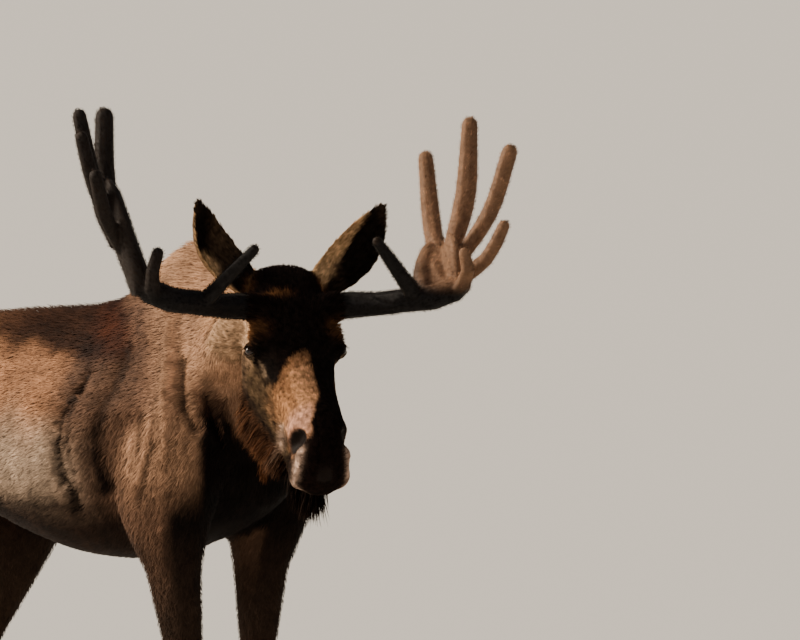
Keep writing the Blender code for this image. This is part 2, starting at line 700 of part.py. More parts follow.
# ---- ears and eyes -------------------------------------------------------------------------
def ear(name, side_name, collection, grow=0.0):
    """A leaf-shaped cup: crescent sections on a gently bowed line, solid at the root."""
    root, along, turn, sweep = EARS[side_name]
    mirror = Matrix.Diagonal((1.0, side_of(side_name), 1.0))
    start = HEAD_FRAME @ (mirror @ Vector(root))
    along = (HEAD_FRAME.to_3x3() @ (mirror @ Vector(along))).normalized()
    ahead = Matrix.Rotation(HEAD_YAW + math.radians(turn), 3, "Z") @ Vector(AHEAD)
    opening = (ahead - along * ahead.dot(along)).normalized()
    across = along.cross(opening).normalized()
    corners = 6
    wall = EAR_WALL + 2 * grow
    rings = []
    for t in (-EAR_ROOT - grow / EAR_LENGTH, *EAR_MARKS):
        fullness = math.sin(math.pi * max((t + 0.30) / 1.30, 0.0) ** 1.12) ** 0.75 if t < 1 else 0.0
        half = max(EAR_WIDTH / 2 * fullness, 0.008) + grow
        bulge = max(EAR_CUP * fullness ** 0.8, 0.006) + grow
        hollow = min(max((t - 0.02) / 0.22, 0.0), 1.0)
        inner = (bulge - wall) * hollow - (0.55 * bulge + grow) * (1 - hollow)
        arch = math.sin(math.pi * max(t, 0.0))
        bowed = across * sweep * arch - opening * EAR_BOW * arch
        centre = start + along * (EAR_LENGTH * t) + bowed
        angles = [math.pi * k / corners for k in range(corners + 1)]
        back = [
            centre + across * half * math.cos(angle) - opening * bulge * math.sin(angle)
            for angle in angles
        ]
        rim = half - 0.25 * wall
        cup = [
            centre + across * rim * math.cos(angle) - opening * inner * math.sin(angle)
            for angle in angles[-2:0:-1]
        ]
        rings.append(back + cup)
    bm = bmesh.new()
    skin_rings(bm, rings)
    return new_object(name, bm, collection)


def eyeball(name, side, collection, grow=0.0):
    bm = bmesh.new()
    centre = HEAD_FRAME @ Vector((EYE.x, EYE.y * side, EYE.z))
    bmesh.ops.create_icosphere(
        bm, subdivisions=2, radius=EYE_RADIUS + grow, matrix=Matrix.Translation(centre)
    )
    return new_object(name, bm, collection)


# ---- antlers -------------------------------------------------------------------------------
def antler_frame(side):
    """Level frame of one antler, with Y pointing outwards on that side."""
    return (
        Matrix.Translation(HEAD_FRAME @ PEDICLE)
        @ Matrix.Rotation(HEAD_YAW, 4, "Z")
        @ Matrix.Diagonal((1.0, side, 1.0, 1.0))
    )


def fork(rows, share):
    """Part a branch's stations at a station: the stub on the antler, and the free tine."""
    k = max(1, round(share * (len(rows) - 3)))
    place, after = Vector(rows[k][0]), Vector(rows[k + 1][0])
    travel = (after - Vector(rows[k - 1][0])).normalized()
    beyond = (tuple(place + travel * STUB_SPARE), *rows[k + 1][1:])
    return rows[:k + 1] + [beyond], rows[k:], place, travel


def build_antler(side_name, collection, scraps):
    """One antler, blended whole, with its tines parted at the forks into named pieces."""
    frame = antler_frame(side_of(side_name))
    branches = {"brow_tine": (BROWS[side_name], 0.45), "front_tine": (FRONTS[side_name], 0.66)}
    for k, tine in enumerate(TINES[side_name]):
        branches[f"tine_{k + 1}"] = (tine, 0.56)
    bm = bmesh.new()
    loft(bm, branch_rows(BEAM, 0.02, AHEAD), step=0, around=18, frame=frame)
    loft(bm, PALMS[side_name], step=0.02, frame=frame)
    for web in PALM_WEBS[side_name]:
        loft(bm, branch_rows(web, 0.03), step=0, around=12, frame=frame)
    free = {}
    for part, (branch, share) in branches.items():
        stub, rest, place, travel = fork(branch_rows(branch), share)
        loft(bm, stub, step=0, around=12, frame=frame)
        free[part] = (rest, place, travel)
    beam = new_object(f"antler_{side_name}_beam", bm, scraps)
    blend(beam, ANTLER_VOXEL, 3, ANTLER_TRIANGLES)
    start = frame @ Vector((0.0, PEDICLE_REACH + GAP, 0.0))
    halve(beam, start, start - frame @ Vector((0.0, 1.0, 0.0)))

    pieces = []
    for part, (rest, place, travel) in free.items():
        middle = frame @ (place + travel * (STUB_SPARE - GAP))
        plate = slab("plate", middle, frame.to_3x3() @ travel, 0.064, 0.064, 2 * STUB_SPARE, scraps)
        carve(beam, plate)
        bm = bmesh.new()
        loft(bm, rest, step=0, around=8, frame=frame, lead=travel)
        pieces.append(new_object(f"antler_{side_name}_{part}", bm, collection))
    point, travel = PALM_CUT
    plate = slab("plate", frame @ point, frame.to_3x3() @ travel, 0.36, 0.36, 2 * GAP, scraps)
    boolean(beam, plate, "DIFFERENCE")
    discard(plate)
    palm = duplicate(beam, f"antler_{side_name}_palm")
    keep_island(palm, frame @ Vector(PALMS[side_name][-1][0]))
    keep_island(beam, start)
    for piece in (palm, beam):
        move_to(piece, collection)
    return [*pieces, palm, beam]


# ---- the whole animal ----------------------------------------------------------------------
def clear_scene():
    for thing in list(bpy.data.objects):
        bpy.data.objects.remove(thing)


def move_to(piece, collection):
    for old in list(piece.users_collection):
        old.objects.unlink(piece)
    collection.objects.link(piece)


def part_body(flesh, head, moose, scraps):
    """Divide the two skins into head, neck, trunk and four legs."""
    room = head_block("room", 0.0, scraps)
    boolean(head, room, "INTERSECT")
    keep_island(head)
    discard(room)
    room = head_block("room", GAP, scraps)
    boolean(flesh, room, "DIFFERENCE")
    keep_island(flesh)
    discard(room)

    place, forward = NECK_CUT
    forward = forward.normalized()
    neck = duplicate(flesh, "neck")
    halve(neck, place + forward * GAP / 2, -forward)
    keep_island(neck)
    halve(flesh, place - forward * GAP / 2, forward)
    keep_island(flesh)

    legs = {}
    for name in FOOT_SHIFT:
        leg = duplicate(flesh, "leg_" + name)
        room = leg_room(name, 0.0, scraps)
        boolean(leg, room, "INTERSECT")
        keep_island(leg)
        discard(room)
        point, normal = coronet_plane(name)
        halve(leg, point, -normal)
        legs[name] = leg
    for name in FOOT_SHIFT:
        room = leg_room(name, GAP, scraps)
        boolean(flesh, room, "DIFFERENCE")
        keep_island(flesh)
        discard(room)
    flesh.name = "trunk"
    for piece in (head, neck, flesh, *legs.values()):
        move_to(piece, moose)
    return neck, flesh, legs


def carve(piece, cutter):
    """Take a cutter out of a piece, and drop the cutter."""
    boolean(piece, cutter, "DIFFERENCE")
    keep_island(piece)
    discard(cutter)


def stand_at_origin(pieces):
    """Move everything so that the middle of its footprint is the origin."""
    corners = [v.co for piece in pieces for v in piece.data.vertices]
    low = Vector([min(c[k] for c in corners) for k in range(3)])
    high = Vector([max(c[k] for c in corners) for k in range(3)])
    shift = Vector((-(low.x + high.x) / 2, -(low.y + high.y) / 2, -low.z))
    for piece in pieces:
        piece.data.transform(Matrix.Translation(shift))


def soft_piece(name, stations, step, collection, scraps, neighbours):
    """A short round piece that is let into its neighbours."""
    bm = bmesh.new()
    loft(bm, stations, step=step, around=10)
    piece = new_object(name, bm, collection)
    for neighbour in neighbours:
        bm = bmesh.new()
        loft(bm, stations, step=step, around=10, grow=SOFT_GAP)
        carve(neighbour, new_object("cutter", bm, scraps))
    return piece


def main():
    clear_scene()
    moose = bpy.data.collections.new("moose")
    scraps = bpy.data.collections.new("cutters")
    bpy.context.scene.collection.children.link(moose)
    bpy.context.scene.collection.children.link(scraps)

    coat = material("brown_winter_coat", "#6B5848", 0.85)
    face = material("dark_face_hair", "#3A2F28", 0.80)
    sock = material("grey_leg_hair", "#7A6F62", 0.85)
    velvet = material("antler_velvet", "#4A3A2E", 0.90)
    horn = material("dark_hoof_horn", "#26211D", 0.45)
    wet = material("wet_eye", "#1A0F0A", 0.08)

    flesh = build_flesh(scraps)
    head = build_head(scraps)
    neck, trunk, legs = part_body(flesh, head, moose, scraps)
    for piece in (neck, trunk):
        give(piece, coat)
    give(head, face)

    for side in (1, -1):
        frame = antler_frame(side)
        middle = frame @ Vector((0.0, PEDICLE_REACH + PEDICLE_ROOM, 0.0))
        outwards = frame.to_3x3() @ Vector(OUTWARDS)
        room = slab("room", middle, outwards, PEDICLE_ROOM, PEDICLE_ROOM, 2 * PEDICLE_ROOM, scraps)
        carve(head, room)

    for side_name, side in (("right", -1), ("left", 1)):
        carve(head, ear("cutter", side_name, scraps, grow=EAR_GAP))
        carve(neck, ear("cutter", side_name, scraps, grow=EAR_GAP))
        give(ear("ear_" + side_name, side_name, moose), coat)
        carve(head, eyeball("cutter", side, scraps, grow=GAP))
        give(eyeball("eye_" + side_name, side, moose), wet)
        for piece in build_antler(side_name, moose, scraps):
            give(piece, velvet)

    give(soft_piece("bell", BELL, 0.075, moose, scraps, (head, neck)), face)
    give(soft_piece("tail", TAIL, 0.05, moose, scraps, (trunk,)), coat)

    for name, leg in legs.items():
        give(leg, sock)
        for label, inner in (("inner", -side_of(name)), ("outer", side_of(name))):
            give(claw(f"hoof_{name}_{label}", name, inner, moose), horn)
            give(dewclaw(f"dewclaw_{name}_{label}", name, inner, moose), horn)
            carve(leg, dewclaw("cutter", name, inner, scraps, grow=GAP))

    pieces = list(moose.objects)
    stand_at_origin(pieces)
    for piece in pieces:
        piece.data.shade_smooth()
        piece.data.set_sharp_from_angle(angle=math.radians(40))
    bpy.data.collections.remove(scraps)


main()
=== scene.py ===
"""A young bull moose in velvet as a life-size still model: skin, coat, antlers, eyes and hooves.

One skin takes the place of the flesh, inside it by the depth of the coat. The coat is tufts of
hair modelled one by one, which follow its lie. Everything is placed from the frame's boxes.
"""
import math

import bmesh
import bpy
import numpy as np
from mathutils import Matrix, Vector, noise
from mathutils.bvhtree import BVHTree
from mathutils.kdtree import KDTree


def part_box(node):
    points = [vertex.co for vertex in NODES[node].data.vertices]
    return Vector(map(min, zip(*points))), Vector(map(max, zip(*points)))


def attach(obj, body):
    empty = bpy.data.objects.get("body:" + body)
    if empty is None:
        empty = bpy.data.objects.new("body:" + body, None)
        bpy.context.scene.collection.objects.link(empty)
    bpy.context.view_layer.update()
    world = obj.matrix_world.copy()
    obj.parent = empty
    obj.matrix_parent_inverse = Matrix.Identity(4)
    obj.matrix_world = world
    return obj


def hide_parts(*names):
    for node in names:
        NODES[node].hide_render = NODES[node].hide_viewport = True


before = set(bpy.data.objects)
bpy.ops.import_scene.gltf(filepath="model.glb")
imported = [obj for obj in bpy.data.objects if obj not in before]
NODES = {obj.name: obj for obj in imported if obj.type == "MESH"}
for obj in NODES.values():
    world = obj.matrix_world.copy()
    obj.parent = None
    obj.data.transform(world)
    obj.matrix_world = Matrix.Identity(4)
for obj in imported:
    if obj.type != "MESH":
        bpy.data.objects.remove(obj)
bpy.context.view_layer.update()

SEED = 7
SIDES = {"left": 1.0, "right": -1.0}

# ---- the head's own frame ----
# X runs along the face to the nose, Y to the head's left, Z out of the forehead; its origin is
# the poll. It is found from the two eyeballs and from how far the head is lowered.
HEAD_PITCH = math.radians(41.0)
EYES_FROM_POLL = Vector((0.212, 0.0, -0.093))


def middle_of(node):
    """The middle of a node's box."""
    low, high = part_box(node)
    return (low + high) / 2


EYE_MIDDLE = {side: middle_of(f"eye_{side}") for side in SIDES}
EYE_RADIUS = (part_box("eye_left")[1].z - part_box("eye_left")[0].z) / 2
across = EYE_MIDDLE["left"] - EYE_MIDDLE["right"]
HEAD_YAW = math.atan2(-across.x, across.y)
HEAD = (
    Matrix.Translation((EYE_MIDDLE["left"] + EYE_MIDDLE["right"]) / 2)
    @ Matrix.Rotation(HEAD_YAW, 4, "Z")
    @ Matrix.Rotation(HEAD_PITCH, 4, "Y")
    @ Matrix.Translation(-EYES_FROM_POLL)
)
MIDLINE = middle_of("trunk").y  # the plane that halves the body
HEAD_TURN = np.array(HEAD.to_3x3())
HEAD_PLACE = np.array(HEAD.translation)


def to_head(points):
    """Points of the row frame in the head's frame."""
    return (points - HEAD_PLACE) @ HEAD_TURN


def from_head(points):
    return points @ HEAD_TURN.T + HEAD_PLACE


def head_way(direction):
    """A direction of the head's frame in the row frame."""
    return HEAD_TURN @ np.array(direction, dtype=float)


# ---- regions of the body ----
REGIONS = {
    "trunk": ("trunk",),
    "neck": ("neck",),
    "head": ("head", "eye_left", "eye_right"),
    "front_legs": ("leg_front_left", "leg_front_right"),
    "hind_legs": ("leg_hind_left", "leg_hind_right"),
    "ears": ("ear_left", "ear_right"),
    "bell": ("bell",),
    "tail": ("tail",),
}
REGION_NAMES = list(REGIONS)


# ---- small tools ----
def smooth(low, high, values):
    """0 below low, 1 above high, and an even curve between; low may be the larger."""
    t = np.clip((values - low) / (high - low), 0.0, 1.0)
    return t * t * (3.0 - 2.0 * t)


def size_of(vectors):
    """The length of each vector."""
    return np.linalg.norm(vectors, axis=-1)


def unit(vectors):
    return vectors / np.maximum(size_of(vectors), 1e-9)[..., None]


def link(mesh, name):
    piece = bpy.data.objects.new(name, mesh)
    bpy.context.scene.collection.objects.link(piece)
    return piece


def new_mesh(name, points, triangles):
    mesh = bpy.data.meshes.new(name)
    mesh.vertices.add(len(points))
    mesh.vertices.foreach_set("co", np.asarray(points, dtype=np.float32).ravel())
    mesh.loops.add(triangles.size)
    mesh.loops.foreach_set("vertex_index", np.asarray(triangles, dtype=np.int32).ravel())
    mesh.polygons.add(len(triangles))
    mesh.polygons.foreach_set("loop_start", np.arange(0, triangles.size, 3, dtype=np.int32))
    mesh.update(calc_edges=True)
    return mesh


def made_mesh(bm, name):
    """Turn a working mesh into a stored one."""
    mesh = bpy.data.meshes.new(name)
    bm.to_mesh(mesh)
    bm.free()
    return mesh


def fetch(items, field, width, kind):
    """One field of many items, as an array with this many columns."""
    values = np.empty(len(items) * width, dtype=kind)
    items.foreach_get(field, values)
    return values.reshape(-1, width)


def read_points(mesh):
    return fetch(mesh.vertices, "co", 3, np.float32).astype(float)


def write_points(mesh, points):
    mesh.vertices.foreach_set("co", points.astype(np.float32).ravel())
    mesh.update()


def read_triangles(mesh):
    mesh.calc_loop_triangles()
    return fetch(mesh.loop_triangles, "vertices", 3, np.int32)


def shade_smooth(mesh):
    mesh.polygons.foreach_set("use_smooth", np.ones(len(mesh.polygons), dtype=bool))


def set_numbers(mesh, name, values):
    """Store one number for each point of a mesh."""
    layer = mesh.attributes.new(name, "FLOAT", "POINT")
    layer.data.foreach_set("value", np.asarray(values, dtype=np.float32))


def set_colours(mesh, colours):
    """Store the coat's colour for each point of a mesh."""
    layer = mesh.attributes.new("pelage", "FLOAT_COLOR", "POINT")
    rgba = np.ones((len(colours), 4), dtype=np.float32)
    rgba[:, :3] = colours
    layer.data.foreach_set("color", rgba.ravel())


def point_normals(points, triangles):
    a, b, c = (points[triangles[:, k]] for k in range(3))
    faces = np.cross(b - a, c - a)
    total = np.zeros_like(points)
    for k in range(3):
        for axis in range(3):
            total[:, axis] += np.bincount(triangles[:, k], faces[:, axis], len(points))
    return unit(total)


class Net:
    """The points of a mesh and their neighbours, for smoothing what is stored on them."""

    def __init__(self, mesh):
        ends = fetch(mesh.edges, "vertices", 2, np.int32)
        ends = np.concatenate((ends, ends[:, ::-1]))
        ends = ends[np.argsort(ends[:, 0], kind="stable")]
        self.near = ends[:, 1]
        self.degree = np.bincount(ends[:, 0], minlength=len(mesh.vertices))
        self.starts = np.concatenate(([0], np.cumsum(self.degree)[:-1]))

    def mean(self, values):
        total = np.add.reduceat(values[self.near], self.starts, axis=0)
        return total / self.degree.reshape(-1, *[1] * (values.ndim - 1))

    def spread(self, values, rounds, share=0.5):
        for _ in range(rounds):
            values = values + share * (self.mean(values) - values)
        return values

    def settle(self, points, rounds, share=1.0):
        """Smooth without shrinking."""
        for push in (0.5, -0.52) * rounds:
            points = points + push * share * (self.mean(points) - points)
        return points


def discard(piece):
    mesh = piece.data
    bpy.data.objects.remove(piece)
    bpy.data.meshes.remove(mesh)


def modified(mesh, kind, **settings):
    """What a modifier makes of a mesh, which it uses up."""
    piece = link(mesh, "working")
    modifier = piece.modifiers.new("working", kind)
    for name, value in settings.items():
        setattr(modifier, name, value)
    bpy.context.view_layer.update()
    result = piece.evaluated_get(bpy.context.evaluated_depsgraph_get())
    made = bpy.data.meshes.new_from_object(result)
    discard(piece)
    return made


def melt(nodes, voxel):
    """One closed mesh of several solids, each grown a little so that they join."""
    bm = bmesh.new()
    for node in nodes:
        part = bmesh.new()
        part.from_mesh(NODES[node].data)
        bmesh.ops.remove_doubles(part, verts=part.verts, dist=0.00001)
        part.normal_update()
        swell = EAR_SWELL if node.startswith("ear") else SWELL
        for vert in part.verts:
            vert.co += vert.normal * swell
        grown = made_mesh(part, "grown")
        bm.from_mesh(grown)
        bpy.data.meshes.remove(grown)
    return modified(made_mesh(bm, "melted"), "REMESH", mode="VOXEL", voxel_size=voxel)


def thin(mesh, triangles):
    """Thin a mesh to about a number of triangles."""
    return modified(mesh, "DECIMATE", ratio=triangles / len(read_triangles(mesh)))


def refine(mesh, chosen):
    """Cut each face with a chosen point into four."""
    bm = bmesh.new()
    bm.from_mesh(mesh)
    bm.verts.ensure_lookup_table()
    flags = chosen.tolist()
    edges = [e for e in bm.edges if flags[e.verts[0].index] and flags[e.verts[1].index]]
    bmesh.ops.subdivide_edges(bm, edges=edges, cuts=1, use_grid_fill=True)
    bmesh.ops.triangulate(bm, faces=[f for f in bm.faces if len(f.verts) > 4])
    bm.to_mesh(mesh)
    bm.free()
    return mesh


def nearest_region(points):
    """For each point, the number of the region whose solid lies nearest."""
    corners, faces, owners = [], [], []
    for number, nodes in enumerate(REGIONS.values()):
        for node in nodes:
            mesh = NODES[node].data
            start = len(corners)
            corners.extend(v.co.copy() for v in mesh.vertices)
            for face in mesh.polygons:
                faces.append([start + k for k in face.vertices])
                owners.append(number)
    tree = BVHTree.FromPolygons(corners, faces)
    owners = np.array(owners)
    hits = [tree.find_nearest(p)[2] for p in points]
    return owners[hits]


# ---- the skin ----
SWELL = 0.0012  # each solid grows by this much, so that the cuts between close
EAR_SWELL = 0.0042  # more, so that the thin rims hold
SKIN_VOXEL = 0.0050

# How deep the skin lies under the tips of the coat, in metres, region by region.
COAT_DEPTH = {
    "trunk": 0.006,
    "neck": 0.007,
    "head": 0.003,
    "front_legs": 0.005,
    "hind_legs": 0.005,
    "ears": 0.0,
    "bell": 0.006,
    "tail": 0.006,
}
SHOULDER_DEPTH = 0.002  # more of it where the legs lie on the trunk
HUMP_DEPTH = 0.007  # and along the crest of the withers
EAR_SINK = 0.0008
SKIN_TRIANGLES = 140000  # before the muzzle and the lids are refined
HEAD_ROUNDS = 14  # of smoothing, over the head and over the body
BODY_ROUNDS = 26

NECK_WAY = unit(np.array(middle_of("neck") - Vector(HEAD_PLACE)))
NOSTRIL = np.array((0.577, 0.073, -0.064))
NOSTRIL_ALONG = 0.036
NOSTRIL_OVER = 0.054
NOSTRIL_TURN = math.radians(24)
NOSTRIL_DEPTH = 0.026

# Soft folds and creases in millimetres: a path, its width, and its height (negative for a crease).
# Those of the head are for its left side, in its own frame, and are repeated on the right.
HEAD_FOLDS = (
    # wing of the nostril, and the comma-shaped tail of its opening
    (((535, 80, -62), (575, 86, -90), (606, 80, -118)), 9.5, 5),
    (((563, 72, -40), (540, 70, -26), (515, 62, -20)), 8.5, -6),
    # the hanging upper lip
    (((606, 64, -62), (636, 62, -90), (642, 56, -142)), 10.5, 6),
    (((610, 76, -100), (618, 70, -140), (600, 66, -165)), 8, -4.5),
    # the mouth's line and the lower lip
    (((636, 36, -190), (590, 58, -184), (520, 66, -172), (455, 70, -156)), 7, -9),
    (((596, 44, -200), (520, 52, -190)), 8.5, 4.5),
    # the edge of the jaw muscle, the tear crease and the hollow between eye and nose
    (((215, 92, -215), (300, 74, -185), (390, 62, -160)), 14, -6),
    (((240, 108, -104), (275, 92, -118), (315, 80, -130)), 7, -5),
    (((290, 60, -50), (350, 56, -50), (420, 56, -52)), 17, -4.5),
    # the bony ridge from the brow to the nose
    (((250, 60, -30), (330, 46, -30), (430, 44, -20)), 14, 3),
)

# Creases, ridges and streaks of the body's right side, in millimetres. Each path is seen from the front
# right, as steps to the right of the poll and above it; then come its width, its height and the light
# it keeps, which paints the coat: below 1 is painted shade, above 1 a painted highlight.
SEEN_RISE = math.radians(2.5)  # how far that view looks down
DIAGONAL = math.sqrt(0.5)  # how wide a step along X or Y looks in it
BODY_FOLDS = (
    # outer crease behind the shoulder, and a line inside it, darkened with painted shade
    (((-526, -271), (-549, -318), (-583, -357), (-601, -396),
      (-609, -453), (-604, -505), (-588, -557), (-565, -590),
      (-557, -637)), 9, -9, 0.25),
    (((-549, -318), (-570, -357), (-583, -396), (-586, -453),
      (-583, -505), (-570, -544)), 8, -7, 0.40),
    # streaks of the shoulder: painted shade in the creases and painted highlights on the ridges, one with no
    # fold under it
    (((-419, -214), (-427, -253), (-458, -318), (-484, -357),
      (-497, -396), (-505, -453), (-495, -518), (-471, -577)), 22, -8, 0.36),
    (((-383, -383), (-391, -422), (-396, -474)), 12, -4, 0.45),
    (((-355, -466), (-368, -505), (-381, -557), (-394, -603)), 14, -5, 0.45),
    (((-365, -141), (-357, -245), (-370, -338)), 28, 3, 1.55),
    (((-417, -437), (-425, -546)), 12, 0, 1.45),
    (((-365, -375), (-375, -468), (-401, -562)), 8, 3, 1.45),
    # folds down the neck, with painted highlights on the ridges and painted shade in the creases
    (((-297, -131), (-303, -227), (-313, -318), (-316, -383),
      (-323, -453), (-316, -486)), 14, 12, 1.60),
    (((-274, -245), (-277, -305), (-271, -370), (-245, -422)), 17, -12, 0.28),
    (((-243, -266), (-240, -323), (-225, -383), (-188, -458)), 13, 6, 1.50),
    (((-217, -325), (-194, -396), (-173, -461)), 12, -10, 0.25),
)


def path_distance(points, path):
    """How far each point is from a path in millimetres."""
    nearest = np.full(len(points), np.inf)
    corners = np.array(path) / 1000.0
    for start, end in zip(corners, corners[1:]):
        run = end - start
        share = np.clip((points - start) @ run / (run @ run), 0.0, 1.0)[:, None]
        nearest = np.minimum(nearest, size_of(points - start - share * run))
    return nearest


def nearness(points, path, width):
    """1 on a path, and less over a width around it."""
    return np.exp(-(path_distance(points, path) / (width / 1000.0)) ** 2)


def seen(points):
    """Points as seen from the front right: steps to the right of the poll and above it."""
    x, y, z = (points - HEAD_PLACE).T
    rise = z * math.cos(SEEN_RISE) - (x - y) * DIAGONAL * math.sin(SEEN_RISE)
    return np.column_stack(((x + y) * DIAGONAL, rise))


def fold(places, folds):
    """How far the skin is raised or pressed in by the folds."""
    return sum(height / 1000.0 * nearness(places, path, width) for path, width, height in folds)


def body_fold(points, normals):
    """How far the body's folds raise the skin, and the painted light and shade they lay on the coat, on the
    side facing the front right.
    """
    facing = smooth(0.05, 0.35, (normals[:, 0] - normals[:, 1]) * DIAGONAL)
    places = seen(points)
    raised = facing * fold(places, [row[:3] for row in BODY_FOLDS])
    light = np.ones(len(points))
    for path, width, _, kept in BODY_FOLDS:
        light *= 1.0 + (kept - 1.0) * nearness(places, path, 0.8 * width) * facing
    return raised, light


def mirrored(path):
    return tuple((x, -y, z) for x, y, z in path)


def ripple(points, scales):
    """Smooth noise from about -1 to 1; a larger scale gives finer features along its axis."""
    return np.array([noise.noise(Vector(place)) for place in (points * scales).tolist()])


def region_weights(net, points, rounds):
    """How much each point belongs to each region, with soft borders."""
    owner = nearest_region(points)
    return net.spread(np.eye(len(REGION_NAMES))[owner], rounds)


def weight(weights, *names):
    """How much each point belongs to the named regions together."""
    return sum(weights[:, REGION_NAMES.index(name)] for name in names)


def crest(points, normals):
    """The top of the withers and of the neck, up to where the ears start."""
    clear = smooth(0.12, 0.30, size_of(points - HEAD_PLACE))
    return smooth(1.46, 1.58, points[:, 2]) * smooth(0.25, 0.75, normals[:, 2]) * clear


def coat_depth(points, normals, weights):
    depth = weights @ np.array([COAT_DEPTH[name] for name in REGION_NAMES])
    legs = weight(weights, "front_legs", "hind_legs")
    depth = depth + legs * SHOULDER_DEPTH * smooth(0.75, 1.10, points[:, 2])
    body = weight(weights, "trunk", "neck")
    depth = depth + SWELL + body * HUMP_DEPTH * crest(points, normals)
    ears = smooth(0.0, 0.5, weight(weights, "ears"))
    return depth * (1.0 - ears) + EAR_SINK * ears


def drop_islands(mesh):
    """Keep only the largest piece of a mesh."""
    bm = bmesh.new()
    bm.from_mesh(mesh)
    left = set(bm.verts)
    groups = []
    while left:
        stack = [left.pop()]
        group = []
        while stack:
            vert = stack.pop()
            group.append(vert)
            for edge in vert.link_edges:
                other = edge.other_vert(vert)
                if other in left:
                    left.remove(other)
                    stack.append(other)
        groups.append(group)
    groups.sort(key=len, reverse=True)
    bmesh.ops.delete(bm, geom=[v for group in groups[1:] for v in group], context="VERTS")
    bm.to_mesh(mesh)
    bm.free()


def eye_frame(side):
    """Centre of an eyeball, and its directions along the slit, upwards and outwards."""
    sign = SIDES[side]
    outwards = unit(head_way((0.60, sign, 0.44)))
    back = head_way((-0.86, 0.0, -0.50))
    back = unit(back - outwards * (back @ outwards))
    up = np.cross(outwards, back) * sign
    return np.array(EYE_MIDDLE[side]), back, up, outwards


# The opening between the lids, from the eyeball's middle.
LID_HALF = 0.0180
LID_RISE = 0.0142  # of the upper lid over the slit's line
LID_DROP = 0.0112
LID_THICK = 0.0028
EYE_HIDDEN = 0.0050  # how far the skin dips behind the eyeball's surface
EYE_ZONES = (0.042, 0.032, 0.026)
LID_BLEND = 0.0040  # how softly the skin runs into the lids
# Level, width and height of the folds over the upper lid and under the lower lid.
LID_FOLDS = ((0.0175, 0.0022, -0.0024), (0.0225, 0.0035, 0.0020), (-0.0150, 0.0020, -0.0014))


def shape_lids(points, side):
    """Wrap the skin round the eyeball in two lids, and open the slit between them."""
    centre, back, up, outwards = eye_frame(side)
    local = points - centre
    a, b, c = local @ back, local @ up, local @ outwards
    radius = np.hypot(a, b)
    near = (radius < 0.045) & (c > -0.010)
    lid = np.sqrt(np.maximum((EYE_RADIUS + LID_THICK) ** 2 - radius ** 2, 0.0))
    ball = np.sqrt(np.maximum(EYE_RADIUS ** 2 - radius ** 2, 0.0))
    opened = c - smooth(EYE_RADIUS + 0.010, 0.78 * EYE_RADIUS, radius) * np.maximum(c - lid, 0.0)
    gap = (opened - lid) / LID_BLEND
    outer = lid + LID_BLEND * np.log1p(np.exp(np.clip(gap, -20, 20)))
    outer = np.where(radius < EYE_RADIUS + LID_THICK, outer, opened)
    arch = 1.0 - (a / (LID_HALF * 1.5)) ** 2
    for level, width, height in LID_FOLDS:
        band = np.exp(-((b - level * np.maximum(arch, 0.0)) / width) ** 2)
        outer = outer + height * band * smooth(0.0, 0.5, arch)
    rim = 1.0 - np.abs(a / LID_HALF) ** 2.2
    edge = np.where(b > 0, LID_RISE, LID_DROP) * np.sign(rim) * np.abs(rim) ** 0.85
    inside = smooth(0.0006, -0.0006, np.abs(b) - edge)
    inner = ball - EYE_HIDDEN
    height = outer * (1 - inside) + inner * inside
    return points + outwards * ((height - c) * near)[:, None]


def nostril_reach(inner, sign):
    """How far out each point of the head's frame is from a nostril: 1 at its edge."""
    local = inner - NOSTRIL * (1, sign, 1)
    along = local[:, 0] * math.cos(NOSTRIL_TURN) - local[:, 2] * math.sin(NOSTRIL_TURN)
    over = local[:, 0] * math.sin(NOSTRIL_TURN) + local[:, 2] * math.cos(NOSTRIL_TURN)
    over = over - 0.35 * local[:, 1] * sign
    reach = np.hypot(along / NOSTRIL_ALONG, over / NOSTRIL_OVER)
    return np.where(sign * inner[:, 1] > 0.02, reach, 9.0)


def shape_nostril(points, normals, sign):
    """An oval pit with a raised rim."""
    reach = nostril_reach(to_head(points), sign)
    pit = smooth(1.05, 0.25, reach)
    rim = np.exp(-((reach - 1.25) / 0.30) ** 2)
    inwards = -head_way((0.30, 0.85 * sign, 0.10))
    return points + inwards * (NOSTRIL_DEPTH * pit)[:, None] + normals * (0.0020 * rim)[:, None]


